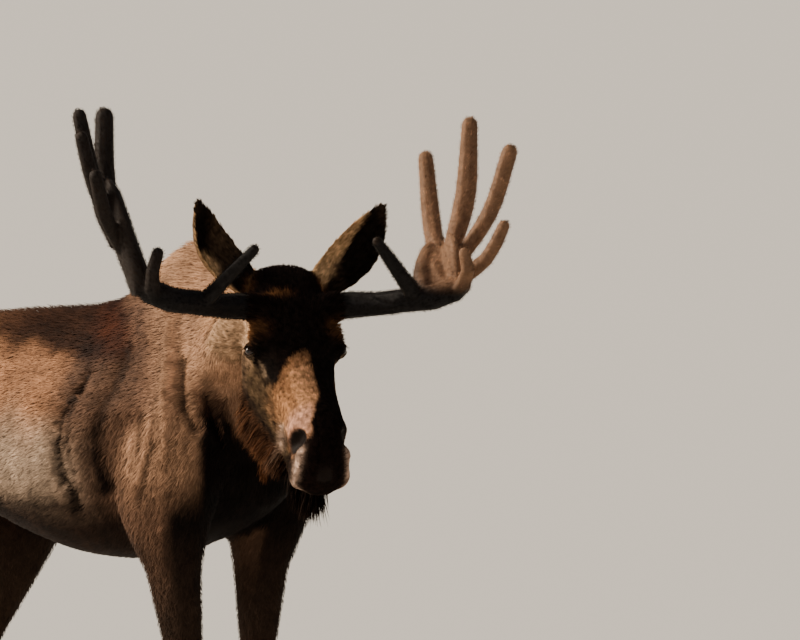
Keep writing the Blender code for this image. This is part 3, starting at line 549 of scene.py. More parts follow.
def build_skin():
    """The whole animal's skin in one mesh, and how much of it belongs to each region."""
    mesh = melt([node for nodes in REGIONS.values() for node in nodes], SKIN_VOXEL)
    net = Net(mesh)
    points = net.settle(read_points(mesh), 10)
    weights = region_weights(net, points, 14)
    near_head = weight(weights, "head") + 0.68 * weight(weights, "ears")
    softness = 0.5 * smooth(0.5, 0.9, near_head)[:, None]
    write_points(mesh, net.spread(points, HEAD_ROUNDS, softness))
    mesh = thin(mesh, SKIN_TRIANGLES)
    drop_islands(mesh)

    net = Net(mesh)
    points = read_points(mesh)
    weights = region_weights(net, points, 8)
    softness = weight(weights, "trunk", "neck") + 0.35 * weight(weights, "front_legs", "hind_legs")
    points = net.spread(points, BODY_ROUNDS, 0.5 * softness[:, None])
    triangles = read_triangles(mesh)
    normals = point_normals(points, triangles)
    depth = net.spread(coat_depth(points, normals, weights), 24)
    points = points - normals * depth[:, None]
    write_points(mesh, points)

    head_part = weight(weights, "head") > 0.5
    folded = np.abs(1 - body_fold(points, normals)[1]) > 0.05
    refine(mesh, (head_part & (to_head(points)[:, 0] > 0.45)) | (folded & ~head_part))
    for reach in EYE_ZONES:
        points = read_points(mesh)
        chosen = np.zeros(len(points), dtype=bool)
        for side in SIDES:
            centre, _, _, outwards = eye_frame(side)
            local = points - centre
            chosen |= (size_of(local) < reach) & (local @ outwards > -0.005)
        refine(mesh, chosen)

    net = Net(mesh)
    points = read_points(mesh)
    weights = region_weights(net, points, 10)
    on_head = weight(weights, "head")
    points = net.settle(points, 4, on_head[:, None])
    triangles = read_triangles(mesh)
    normals = point_normals(points, triangles)
    inner = to_head(points)
    folds = [*HEAD_FOLDS, *((mirrored(path), width, height) for path, width, height in HEAD_FOLDS)]
    raised = on_head * fold(inner, folds) + (1 - on_head) * body_fold(points, normals)[0]
    points = points + normals * raised[:, None]
    normals = point_normals(points, triangles)
    for side, sign in SIDES.items():
        points = points + on_head[:, None] * (shape_nostril(points, normals, sign) - points)
        points = shape_lids(points, side)
    write_points(mesh, points)
    return mesh, points, triangles, point_normals(points, triangles), weights, net


skin_mesh, skin_points, skin_triangles, skin_normals, skin_weights, skin_net = build_skin()

# ---- the lie, length and colours of the coat, painted light and shade included ----
# Length and width of a tuft in metres, and the way it lies, region by region.
TUFTS = {
    "trunk": (0.026, 0.0029, (-1.0, 0.0, -0.50)),
    "neck": (0.028, 0.0030, tuple(NECK_WAY + (0.0, 0.0, -0.55))),
    "head": (0.0100, 0.0021, tuple(head_way((-1.0, 0.0, -0.22)))),
    "front_legs": (0.013, 0.0028, (-0.05, 0.0, -1.0)),
    "hind_legs": (0.013, 0.0028, (-0.05, 0.0, -1.0)),
    "ears": (0.0095, 0.0022, (0.0, 0.0, 1.0)),
    "bell": (0.060, 0.0045, (-0.1, 0.0, -1.0)),
    "tail": (0.040, 0.0045, (0.0, 0.0, -1.0)),
}
LEG_TOP = (0.78, 1.12)  # heights between which a leg's coat turns into the trunk's
MOUTH = HEAD_FOLDS[4][0]
INNER_EAR = {"left": np.array((0.749, -0.663, 0.0)), "right": np.array((0.994, 0.113, 0.0))}

# Marks of the face, seen as the body's folds are and the same on both sides: a path and its width in
# millimetres, its colour and how strong it is. Some are painted shade and painted highlights.
FACE_MARKS = (
    # painted shade behind and under the cheek, in the gap between jaw and neck
    (((-110, -232), (-108, -292), (-103, -357), (-84, -409),
      (-53, -448)), 13, "face", 0.85),
    (((-100, -333), (-77, -367), (-48, -409), (-25, -450)), 13, "face", 0.85),
    # painted shade in the hollow between the eye and the nose, and the tear crease
    (((-64, -209), (-48, -240), (-32, -285)), 25, "chest", 1.00),
    (((-64, -245), (-53, -266), (-48, -286)), 4, "eye_rim", 0.60),
    # the nostril's surround, the edge of the muzzle and the lips: the pale strip down the muzzle's edge is a
    # painted highlight on its lit rim, and the upper lip's pale streak is partly a painted highlight
    (((-1, -436), (14, -446), (32, -454)), 14, "upper_leg", 0.85),
    (((-6, -409), (-9, -461), (-1, -505)), 7, "lip", 0.45),
    (((14, -476), (12, -515), (17, -551)), 4, "face", 1.00),
    (((43, -466), (35, -499), (30, -536)), 10, "lip", 1.00),
    (((22, -551), (38, -570), (61, -588)), 6, "lip", 0.90),
)

# The tan strip along the edge of each ear that faces REARWARDS, rear and right, the lit side, so partly
# painted light:
# where it starts and is full, rearwards of its middle.
REARWARDS = np.array((-0.707, -0.707, 0.0))
REAR_STRIP = {"left": (-0.032, -0.016), "right": (0.022, 0.032)}
STRIP_TAPER = 0.22

# The saddle's lower edge, as seen from the front right: steps right of the poll, and above it.
SADDLE_EDGE = ((-0.744, -0.679, -0.583, -0.526, -0.419), (-0.214, -0.193, -0.214, -0.271, -0.230))

# The coat's colours; some are painted light and shade, as noted where they are laid.
PELAGE = {
    "flank": "#966a4b",
    # a pale painted highlight for the lower flank
    "low_flank_highlight": "#a08b76",
    "saddle": "#1e0e07",
    "rust": "#44200e",
    "rump": "#5a3e2b",
    "withers": "#b88d66",
    "belly": "#241811",
    "neck": "#a07a5e",
    "shoulder": "#594132",
    # black of the chest and throat, partly painted shade; also laid as painted shade on the face
    "chest": "#0f0a08",
    "face": "#140d0a",
    # painted highlight for the lit top of the nose
    "bridge": "#986b48",
    "ridge": "#cc9468",
    "cheek": "#4d3d2b",
    "nape": "#a08063",
    "muzzle": "#140c09",
    # pale lip, also laid as painted highlights down the muzzle's edge and the upper lip
    "lip": "#b0937f",
    "tan": "#8a5c38",
    "nose": "#b98a72",
    "fringe": "#4c2f1d",
    "beard": "#1f1611",
    "eye_rim": "#7a6652",
    "upper_leg": "#2e221a",
    "lower_leg": "#8f8170",
    "ear_back": "#7c6149",
    "ear_edge": "#bd966b",
    "ear_inside": "#150f0b",
    "bare": "#17100d",
}


def linear(code):
    """A hex colour in linear numbers."""
    parts = [int(code[k:k + 2], 16) / 255 for k in (1, 3, 5)]
    return np.array([p / 12.92 if p <= 0.04045 else ((p + 0.055) / 1.055) ** 2.4 for p in parts])


COLOURS = {name: linear(code) for name, code in PELAGE.items()}


def ear_way(side):
    """From the root of an ear to its tip."""
    points = read_points(NODES[f"ear_{side}"].data)
    away = size_of(points - HEAD_PLACE)
    tip = points[away.argmax()]
    root = points[away < np.quantile(away, 0.2)].mean(axis=0)
    return root, unit(tip - root)


def toward(values, target, amount):
    """Values drawn towards a target by an amount from 0 to 1."""
    amount = np.clip(amount, 0.0, 1.0)
    if values.ndim == 2:
        amount = amount[:, None]
    return values + amount * (target - values)


def spot(inner, middle, size):
    """A soft patch on both sides of the head: 1 at its middle."""
    mirrored_points = np.abs(inner * (0, 1, 0)) + inner * (1, 0, 1)
    return np.exp(-(((mirrored_points - middle) / size) ** 2).sum(axis=1))


def linear_between(values, first, last):
    """The height of the straight line through two (place, height) pairs, at each value."""
    return first[1] + (values - first[0]) * (last[1] - first[1]) / (last[0] - first[0])


def eye_distance(points):
    return np.minimum(*(size_of(points - EYE_MIDDLE[side]) for side in SIDES))


def painted(coat, *layers):
    """A coat with colours laid over it, each as strongly as its amount says."""
    for name, amount in layers:
        coat = toward(coat, COLOURS[name], amount)
    return coat


def face_marks(inner, inner_normals):
    """The marks of the face, on the right and mirrored on the left, as layers of paint."""
    mirror = np.where(inner[:, 1] > 0, -1.0, 1.0)[:, None] * (0, 1, 0) + (1, 0, 1)
    places = seen(from_head(inner * mirror))
    turned = (inner_normals * mirror) @ HEAD_TURN.T
    facing = smooth(-0.20, 0.05, (turned[:, 0] - turned[:, 1]) * DIAGONAL)
    return [(name, strength * nearness(places, path, width) * facing)
            for path, width, name, strength in FACE_MARKS]


def jaw_line(u):
    """The height in the head's frame at which the fringe of the jaw starts."""
    return linear_between(u, (0.10, -0.258), (0.46, -0.196))


def jaw_edge(inner, normals):
    """The lower edge of the jaw and of the cheek, where the fringe hangs."""
    low = jaw_line(inner[:, 0])
    below = smooth(0.20, -0.30, normals[:, 2]) * smooth(low, low - 0.025, inner[:, 2])
    return below * smooth(0.50, 0.43, inner[:, 0]) * smooth(0.14, 0.21, inner[:, 0])


def chin_edge(inner, normals):
    """The underside of the chin, with its beard."""
    below = smooth(-0.30, -0.65, normals[:, 2])
    return below * smooth(0.46, 0.51, inner[:, 0]) * smooth(-0.180, -0.200, inner[:, 2])


def lay(flow, normals, hang):
    """Directions laid along a surface, but for the share of them that hangs off it."""
    out = (flow * normals).sum(axis=1)
    return unit(flow - normals * (out - hang * np.maximum(out, 0.0))[:, None])


class Ground:
    """A surface that hair grows on: its mesh, and how the hair grows at each of its points.

    Hang is how freely the hair falls straight down, from 0, where it lies along the surface.
    Folded is how much it takes the light and shade of the body's folds.
    """

    def __init__(self, points, triangles, normals, flow, length, width, lift, growth, colours,
                 hang, folded):
        self.points, self.triangles, self.normals = points, triangles, normals
        self.flow = lay(flow, normals, hang)
        self.length, self.width, self.lift = length, width, lift
        self.growth, self.colours, self.hang, self.folded = growth, colours, hang, folded


def bare_skin(points, inner, weights):
    """Where the skin shows: round the eyes, in the nostrils and along the mouth."""
    head = weight(weights, "head")
    bare = smooth(0.0225, 0.0195, eye_distance(points))
    for sign in SIDES.values():
        bare = np.maximum(bare, smooth(1.00, 0.80, nostril_reach(inner, sign)))
    mouth = np.minimum(path_distance(inner, MOUTH), path_distance(inner, mirrored(MOUTH)))
    bare = np.maximum(bare, smooth(0.0060, 0.0035, mouth))
    pad = smooth(0.655, 0.668, inner[:, 0]) * smooth(0.024, 0.016, np.abs(inner[:, 1]))
    return head * np.maximum(bare, pad * smooth(-0.125, -0.11, inner[:, 2]))


def trunk_coat(points, normals, plain, streak, fine):
    """Brown, with a dark saddle, a tan column down the shoulder, a painted highlight on the low flank, and
    dark belly and chest that are partly painted shade.
    """
    x, y, z = points.T
    side, rise = seen(np.column_stack((x, MIDLINE - np.abs(y - MIDLINE), z))).T
    cloud = ripple(points, (5.0, 5.0, 6.0))
    # pale: a painted highlight low on the flank
    pale = smooth(-0.34, -0.52, rise + 0.10 * cloud + 0.04 * streak)
    pale = pale * smooth(0.0, -0.2, x) * smooth(-0.70, -0.38, x)
    low = np.interp(side, *SADDLE_EDGE) + 0.05 * cloud + 0.03 * streak
    saddle = smooth(low - 0.03, low + 0.03, rise) * smooth(-0.39, -0.43, side + 0.02 * streak)
    rust = np.exp(-((side + 0.445) / 0.045) ** 2 - ((rise + 0.165) / 0.06) ** 2)
    # flat: painted shade along the bottom of the side, below a level seen from the front right
    flat = 0.9 * smooth(-0.57, -0.63, rise) * smooth(0.0, -0.1, x)
    under = np.maximum(smooth(-0.15, -0.65, normals[:, 2]), flat)
    front = smooth(-0.37, -0.30, side + 0.02 * streak) * smooth(-0.35, -0.29, rise)
    start = np.interp(rise, (-0.46, -0.34), (-0.47, -0.37))
    column = smooth(start, start + 0.06, side) * smooth(-0.215, -0.245, side) * smooth(-0.66, -0.50, rise)
    coat = painted(
        plain * COLOURS["flank"],
        ("rump", smooth(-0.42, -0.85, x)),
        ("shoulder", smooth(-0.24, -0.06, x + 0.10 * cloud)),
        # painted highlight low on the flank
        ("low_flank_highlight", 0.9 * pale),
        ("saddle", 0.96 * saddle * (1.0 - 0.45 * smooth(-0.40, -0.85, x))),
        ("rust", 0.85 * rust),
        # the belly's own dark colour, with painted shade where the body faces down and along its bottom edge
        ("belly", under * smooth(1.20, 1.10, z)),
        # the black front of the chest: its own dark colour, with painted shade where it faces away from the
        # light
        ("chest", smooth(0.15, 0.50, normals[:, 0]) * smooth(1.44, 1.32, z)),
        ("withers", 0.85 * smooth(1.62, 1.74, z) * smooth(-0.26, -0.08, x)),
        ("neck", np.maximum(0.85 * front, 0.60 * column)),
    )
    return coat * (1.0 + 0.30 * streak + 0.30 * fine)[:, None]


def neck_coat(points, normals, plain, streak, fine):
    """Tan, black round the poll and down the throat, the throat's black being partly painted shade."""
    x, _, z = points.T
    poll = smooth(0.30, 0.17, size_of(points - HEAD_PLACE)) * smooth(-0.05, 0.02, z - HEAD_PLACE[2])
    return painted(
        plain * COLOURS["neck"] * (1.0 + 0.22 * streak + 0.16 * fine)[:, None],
        ("withers", 0.8 * smooth(0.2, 0.8, normals[:, 2])),
        # black down the lower neck, partly painted shade
        ("chest", 0.95 * smooth(1.40, 1.31, z + 0.05 * streak - 0.1 * (x - 0.45))),
        ("face", poll),
        # black where the throat faces down: partly painted shade under the neck
        ("chest", 0.95 * smooth(0.05, -0.50, normals[:, 2]) * smooth(1.42, 1.34, z)),
    )


def head_coat(points, normals, inner, plain):
    """Black, with a tan patch down the nose, speckled cheeks and pale lips; painted shade keeps the patch off
    most of the left side, and painted light lightens the nose's ridge and keeps the forehead's tan band to
    the right side.
    """
    u, v, w = inner[:, 0], np.abs(inner[:, 1]), inner[:, 2]
    speckle = ripple(inner, (60.0, 60.0, 60.0))
    nape = smooth(-0.075, -0.115, w) * smooth(0.235, 0.165, u + 0.25 * (w + 0.15))
    top = np.interp(u, (0.25, 0.36), (-0.120, -0.078)) - 0.01 * speckle
    cheek = smooth(0.13, 0.22, u) * smooth(0.64, 0.58, u) * smooth(top + 0.012, top - 0.012, w)
    jowl = cheek * smooth(0.30, 0.40, u) * smooth(-0.185, -0.135, w) * (0.40 + 0.70 * speckle)
    front = np.maximum(smooth(0.082, 0.062, v), smooth(0.585, 0.620, u))
    reach = np.minimum(linear_between(u, (0.282, 0.020), (0.350, 0.074)), 0.100)
    edge = np.interp(u, (0.45, 0.57), (0.010, -0.034)) + 0.004 * speckle
    patch = smooth(0.006, -0.006, v - reach + 0.008 * speckle)
    # the patch keeps to the right side and the far left edge; the rest of the left side stays dark as painted
    # shade
    patch = patch * np.maximum(smooth(edge + 0.006, edge - 0.006, inner[:, 1]),
                               smooth(0.072, 0.084, inner[:, 1]))
    patch = patch * smooth(0.285, 0.305, u) * smooth(0.610, 0.575, u) * smooth(-0.120, -0.085, w)
    # a tan band on the forehead, kept to the right, lit side as painted light
    band = spot(inner, (0.102, 0.040, 0.010), (0.012, 0.034, 0.030)) * smooth(0.02, -0.02, inner[:, 1])
    ring = np.exp(-((eye_distance(points) - 0.0250) / 0.0030) ** 2) * smooth(0.01, -0.02, w + 0.080)
    return painted(
        plain * COLOURS["face"],
        ("nape", nape),
        ("cheek", cheek * (0.70 + 0.80 * speckle)),
        ("bridge", jowl),
        ("muzzle", smooth(0.47, 0.58, u) * front),
        ("bridge", 0.92 * patch),
        # painted highlight along the lit top of the nose
        ("ridge", 0.9 * patch * smooth(0.055, 0.038, v) * smooth(0.32, 0.36, u)),
        ("nose", 0.8 * patch * smooth(0.47, 0.53, u)),
        ("tan", spot(inner, (0.190, 0.102, -0.052), (0.024, 0.03, 0.022))),
        ("tan", 0.9 * band),
        ("tan", 0.7 * spot(inner, (0.010, 0.110, -0.060), (0.030, 0.030, 0.030))),
        *face_marks(inner, normals @ HEAD_TURN),
        ("fringe", jaw_edge(inner, normals) * (0.70 + 0.80 * speckle)),
        # black along the underside of the jaw, partly painted shade
        ("chest", smooth(0.045, 0.020, v) * smooth(-0.19, -0.23, w)),
        ("beard", chin_edge(inner, normals)),
        ("eye_rim", 0.8 * ring),
    )


def ear_coat(points, normals, inner, plain, streak):
    """Tan along the edges, most on the lit edge as partly painted light, and black inside, partly painted
    shade.
    """
    coat = plain * COLOURS["ear_back"]
    for side, sign in SIDES.items():
        facing = normals @ INNER_EAR[side]
        here = inner[:, 1] * sign > 0
        root, way = ear_way(side)
        rear = unit(REARWARDS - way * (REARWARDS @ way))
        strip = smooth(*REAR_STRIP[side], (points - root) @ (rear - STRIP_TAPER * way))
        rim = np.maximum(0.8 * np.exp(-((facing + 0.10) / 0.25) ** 2), strip * smooth(-0.3, 0.1, facing))
        hollow = smooth(0.02, 0.28, facing) * (1.0 - 0.9 * strip) * (1.0 + 0.3 * streak)
        coat = painted(coat, ("ear_edge", rim * here), ("ear_inside", hollow * here))
    return coat


def coat_colours(points, normals, inner, weights):
    """The colour of the coat at each point, shared by the skin and the tufts."""
    z = points[:, 2]
    plain = np.ones((len(points), 1))
    streak = ripple(points, (11.0, 11.0, 3.0))
    fine = ripple(points, (32.0, 32.0, 8.0))
    trunk = trunk_coat(points, normals, plain, streak, fine)
    leg = painted(plain * COLOURS["upper_leg"], ("lower_leg", smooth(0.62, 0.46, z)),
                  ("upper_leg", 0.5 * smooth(0.14, 0.06, z)))
    leg = toward(leg, trunk, smooth(*LEG_TOP, z))
    parts = {
        "trunk": trunk,
        "neck": neck_coat(points, normals, plain, streak, fine),
        "head": head_coat(points, normals, inner, plain),
        "front_legs": leg,
        "hind_legs": leg,
        "ears": ear_coat(points, normals, inner, plain, streak),
        "bell": plain * COLOURS["fringe"],
        "tail": plain * COLOURS["rump"],
    }
    total = sum(parts[name] * weight(weights, name)[:, None] for name in REGION_NAMES)
    total = total * (1.0 + 0.12 * ripple(points, (30.0, 30.0, 30.0)))[:, None]
    return toward(total, COLOURS["bare"], bare_skin(points, inner, weights))


def skin_ground():
    """How the coat grows on the skin."""
    points, normals, weights, net = skin_points, skin_normals, skin_weights, skin_net
    inner = to_head(points)
    u, v, w = inner[:, 0], np.abs(inner[:, 1]), inner[:, 2]
    z = points[:, 2]
    head, ears = weight(weights, "head"), weight(weights, "ears")
    body = weight(weights, "trunk", "neck")
    legs = weight(weights, "front_legs", "hind_legs")
    kinds = zip(*(TUFTS[name] for name in REGION_NAMES))
    hair = {name: weights @ np.array(kind) for name, kind in zip(("length", "width", "flow"), kinds)}

    def comb(amount, **targets):
        """Draw the hair's length, width or flow towards a target."""
        for name, target in targets.items():
            hair[name] = toward(hair[name], target, amount)

    trunk_length, trunk_width, _ = TUFTS["trunk"]
    comb(legs * smooth(*LEG_TOP, z), length=0.85 * trunk_length, width=trunk_width, flow=(-0.60, 0.0, -1.0))
    ridge = 0.9 * net.spread(body * crest(points, normals), 10)
    comb(ridge, length=0.042, width=0.0024)
    comb(legs * smooth(0.30, 0.12, z), length=0.010)
    chest = body * smooth(0.45, 0.85, normals[:, 0]) * smooth(1.45, 1.25, z)
    comb(chest, length=0.040, flow=(0.0, 0.0, -1.0))
    crease = body * smooth(0.9, 0.4, body_fold(points, normals)[1])
    comb(0.9 * net.spread(crease, 3), length=0.014)

    comb(head * smooth(0.42, 0.52, u), length=0.0060, width=0.0015)
    comb(head * smooth(0.50, 0.40, u) * smooth(-0.09, -0.13, w), length=0.0160)
    forehead = head * smooth(0.19, 0.13, u) * smooth(-0.10, -0.05, w)
    comb(forehead, length=0.0180, width=0.0024)
    stump = head * smooth(0.075, 0.095, v) * smooth(-0.095, -0.070, w) * smooth(0.03, 0.07, u)
    hair["flow"] = hair["flow"] + np.outer(2.2 * stump * np.sign(inner[:, 1]), HEAD_TURN[:, 1])
    comb(stump, length=0.024)
    fringe = head * jaw_edge(inner, normals)
    beard = head * chin_edge(inner, normals)
    comb(fringe, length=0.072, flow=(-0.40, -0.25, -1.0))
    comb(beard, length=0.095, flow=(-0.15, 0.0, -1.0))
    comb(np.maximum(fringe, beard), width=0.0034)
    hang = net.spread(0.9 * np.maximum(fringe, beard), 2)
    comb(smooth(0.036, 0.024, eye_distance(points)), length=0.0045, width=0.0012)
    for side, sign in SIDES.items():
        here = ears * (inner[:, 1] * sign > 0)
        comb(here, flow=ear_way(side)[1])
        comb(here * smooth(0.1, 0.5, normals @ INNER_EAR[side]), length=0.017)

    length, width, flow = hair["length"], hair["width"], net.spread(hair["flow"], 14)
    lift = 0.80 * coat_depth(points, normals, weights) / length
    lift = np.clip(toward(lift, 0.18, head), 0.10, 0.50)
    cheek = head * smooth(0.12, 0.20, u) * smooth(0.56, 0.48, u) * smooth(-0.09, -0.13, w)
    for steepness, amount in ((0.42, ridge), (0.30, cheek), (0.26, forehead), (0.16, ears), (0.10, hang)):
        lift = toward(lift, steepness, amount)
    bare = bare_skin(points, inner, weights)
    growth = (1.0 - bare) * (length * width * 1e4) ** -0.75 * (1.0 + 6.5 * hang)
    colours = coat_colours(points, normals, inner, weights)
    folded = 1.0 - weight(weights, "head", "ears", "bell")
    ground = Ground(points, skin_triangles, normals, flow, length, width, lift, growth, colours,
                    hang, folded)
    return ground, bare


# ---- tufts ----
ROOT_SINK = 0.0010  # how far a root is set into the skin
TUFT_PATCH = 0.003  # of the bake map, to each tuft
BLADE = ((1, 3, 0), (0, 3, 2), (1, 4, 3), (2, 3, 5), (3, 4, 5))
BLADE_PLACES = ((-0.35, 0.0), (0.35, 0.0), (-0.5, 0.5), (0.0, 0.5), (0.5, 0.5), (0.0, 1.0))
BLADE_SHADES = np.array((0.88, 0.88, 0.97, 1.00, 0.97, 1.08))
# hanging hair of the jaw and chin: painted shade at the root and a painted highlight at the tip
HANGING_LIGHT_AND_SHADE = np.array((0.22, 0.22, 0.55, 0.60, 0.55, 1.35))
BLADE_ROUND = (0.40, -0.40, 0.40, 0.0, -0.40, 0.0)  # how far each corner's normal leans
CLUMP = 11  # tufts whose tips draw together
FLECKS = (95.0, 95.0, 95.0)  # lighter and darker flecks about a centimetre across


def unwrap(points, triangles):
    """Each corner's place on an unwrap of the surface's own shape."""
    used, numbers = np.unique(triangles, return_inverse=True)
    mesh = new_mesh("unwrapped", points[used], numbers.reshape(-1, 3))
    piece = link(mesh, "unwrapped")
    for other in bpy.context.selected_objects:
        other.select_set(False)
    bpy.context.view_layer.objects.active = piece
    piece.select_set(True)
    bpy.ops.object.mode_set(mode="EDIT")
    bpy.ops.mesh.select_all(action="SELECT")
    bpy.ops.uv.smart_project(angle_limit=math.radians(66), island_margin=0.001)
    bpy.ops.object.mode_set(mode="OBJECT")
    places = fetch(mesh.uv_layers.active.uv, "vector", 2, np.float32)
    discard(piece)
    return places.reshape(-1, 3, 2)


def blades(name, roots, normals, flow, length, width, lift, colours, places, pull=None, hang=None):
    """Tufts as one mesh: each is a narrow ridged blade that lies along the flow."""
    sideways = unit(np.cross(normals, flow))
    across = sideways * (width / 2)[:, None]
    sunk = roots - normals * ROOT_SINK
    middle = roots + flow * (0.52 * length)[:, None] + normals * (0.74 * lift * length)[:, None]
    tip = roots + flow * length[:, None] + normals * (lift * length)[:, None]
    if pull is not None:
        middle = middle + 0.35 * pull
        tip = tip + pull
    corners = np.stack((
        sunk + 0.7 * across,
        sunk - 0.7 * across,
        middle + across,
        middle + normals * (0.16 * width)[:, None],
        middle - across,
        tip,
    ), axis=1)
    count = len(roots)
    triangles = (np.arange(count)[:, None, None] * 6 + np.array(BLADE)).reshape(-1, 3)
    mesh = new_mesh(name, corners.reshape(-1, 3), triangles)
    shade_smooth(mesh)
    hang = np.zeros(count) if hang is None else hang
    shades = BLADE_SHADES + hang[:, None] * (HANGING_LIGHT_AND_SHADE - BLADE_SHADES)
    set_colours(mesh, (colours[:, None, :] * shades[:, :, None]).reshape(-1, 3))
    facing = np.cross(flow, sideways)[:, None, :] + sideways[:, None, :] * np.array(BLADE_ROUND)[:, None]
    mesh.normals_split_custom_set_from_vertices(unit(facing).reshape(-1, 3))
    layer = mesh.uv_layers.new(name="OFBake")
    patch = TUFT_PATCH * np.array(BLADE_PLACES)[np.array(BLADE)]
    spread = places[:, None, None, :] + patch[None]
    layer.uv.foreach_set("vector", spread.astype(np.float32).ravel())
    return link(mesh, name)


def sprout(name, ground, chosen, count, clumping=0.38, mess=0.16):
    """Scatter tufts over the chosen triangles of a surface, evenly for how the hair grows."""
    rng = np.random.default_rng(SEED + sum(name.encode()))
    triangles = ground.triangles[chosen]
    a, b, c = (ground.points[triangles[:, k]] for k in range(3))
    chance = size_of(np.cross(b - a, c - a)) * ground.growth[triangles].mean(axis=1)
    steps = (np.arange(count) + rng.random(count)) / count
    picks = np.searchsorted(np.cumsum(chance) / chance.sum(), steps)
    picks = np.minimum(picks, len(triangles) - 1)
    shares = rng.dirichlet((1.0, 1.0, 1.0), count)
    chosen_places = unwrap(ground.points, triangles)[picks]

    def there(values):
        found = values[triangles[picks]]
        return (found * shares.reshape(count, 3, *[1] * (found.ndim - 2))).sum(axis=1)

    roots = there(ground.points)
    normals = unit(there(ground.normals))
    flow = there(ground.flow)
    hang = there(ground.hang)
    flow = lay(flow + mess * rng.normal(size=(count, 3)), normals, hang)
    length = there(ground.length) * rng.uniform(0.72, 1.25, count)
    width = there(ground.width) * rng.uniform(0.75, 1.25, count)
    lift = there(ground.lift) * rng.uniform(0.70, 1.25, count)
    tips = roots + flow * length[:, None]
    leaders = rng.permutation(count)[:max(count // CLUMP, 1)]
    tree = KDTree(len(leaders))
    for number, leader in enumerate(leaders.tolist()):
        tree.insert(roots[leader], number)
    tree.balance()
    clump = np.array([tree.find(root)[1] for root in roots])
    pull = clumping * (tips[leaders[clump]] - tips)
    reach = size_of(pull)
    pull = pull * np.minimum(1.0, 0.30 * length / np.maximum(reach, 1e-6))[:, None]
    tint = (1.0 + 0.13 * rng.normal(size=len(leaders)))[clump] * (1.0 + 0.10 * rng.normal(size=count))
    # painted light and shade of the body's folds, taken halfway along each tuft
    light = body_fold(roots + 0.45 * flow * length[:, None], normals)[1]
    tint = tint * toward(light, 1.0, 1.0 - there(ground.folded))
    flecks = 1.05 - 0.87 * there(ground.folded)
    tint = tint * (1.0 + flecks * ripple(roots, FLECKS))
    colours = there(ground.colours) * np.clip(tint, 0.12, 1.8)[:, None]
    places = (chosen_places * shares[:, :, None]).sum(axis=1)
    return blades(name, roots, normals, flow, length, width, lift, colours, places, pull, hang)


ground, bare = skin_ground()
# the skin's colour carries the same painted light and shade of the folds
shade = toward(body_fold(skin_points, skin_normals)[1], 1.0, 1.0 - ground.folded)
set_colours(skin_mesh, ground.colours * shade[:, None])
set_numbers(skin_mesh, "bare", bare)
shade_smooth(skin_mesh)
skin = link(skin_mesh, "skin")
middles = skin_points[skin_triangles].mean(axis=1)
owners = skin_weights[skin_triangles].mean(axis=1).argmax(axis=1)
head_side = to_head(middles)[:, 1]


def owned(name):
    return owners == REGION_NAMES.index(name)


HALFWAY = -0.35  # between the fore and the hind half of the trunk
fore = middles[:, 0] > HALFWAY
right = middles[:, 1] < MIDLINE
COAT_PIECES = {
    "coat_right_shoulder": (owned("trunk") & right & fore, 39500),
    "coat_right_flank": (owned("trunk") & right & ~fore, 20000),
    "coat_left_shoulder": (owned("trunk") & ~right & fore, 22000),
    "coat_left_flank": (owned("trunk") & ~right & ~fore, 17000),
    "coat_neck": (owned("neck"), 32000),
    "coat_face_right": (owned("head") & (head_side < 0), 38000),
    "coat_face_left": (owned("head") & (head_side >= 0), 31000),
    "coat_foreleg_right": (owned("front_legs") & right, 13000),
    "coat_foreleg_left": (owned("front_legs") & ~right, 11000),
    "coat_hindleg_right": (owned("hind_legs") & right, 10500),
    "coat_hindleg_left": (owned("hind_legs") & ~right, 10000),
    "coat_ear_right": (owned("ears") & (head_side < 0), 7500),
    "coat_ear_left": (owned("ears") & (head_side >= 0), 7500),
    "coat_bell": (owned("bell"), 2500),
    "coat_tail": (owned("tail"), 1500),
}
coat = {name: sprout(name, ground, chosen, count) for name, (chosen, count) in COAT_PIECES.items()}

# ---- antlers ----
ANTLER_VOXEL = 0.0034
BEAM_TOP = HEAD_PLACE[2] - 0.05
ANTLER_TRIANGLES = 46000  # of each side
# Velvet colours: the beam's near black is partly painted shade, the right tines are dark with painted shade
# and the left tines lighter with painted light, and the rim colour is a painted highlight on raised edges.
VELVET_BEAM_SHADED = "#0e0a09"
VELVET_TINE_LIT_AND_SHADED = {"left": "#765740", "right": "#1f1712"}
VELVET_RIM_HIGHLIGHT = {"left": "#ae865e", "right": "#5c4330"}
PALM_START = (0.29, 0.36)  # to the side of the poll: where the dark beam turns into the palm
FUZZ_LENGTH = 0.0075
FUZZ_WIDTH = 0.0013
FUZZ_TUFTS = 14000  # on each side


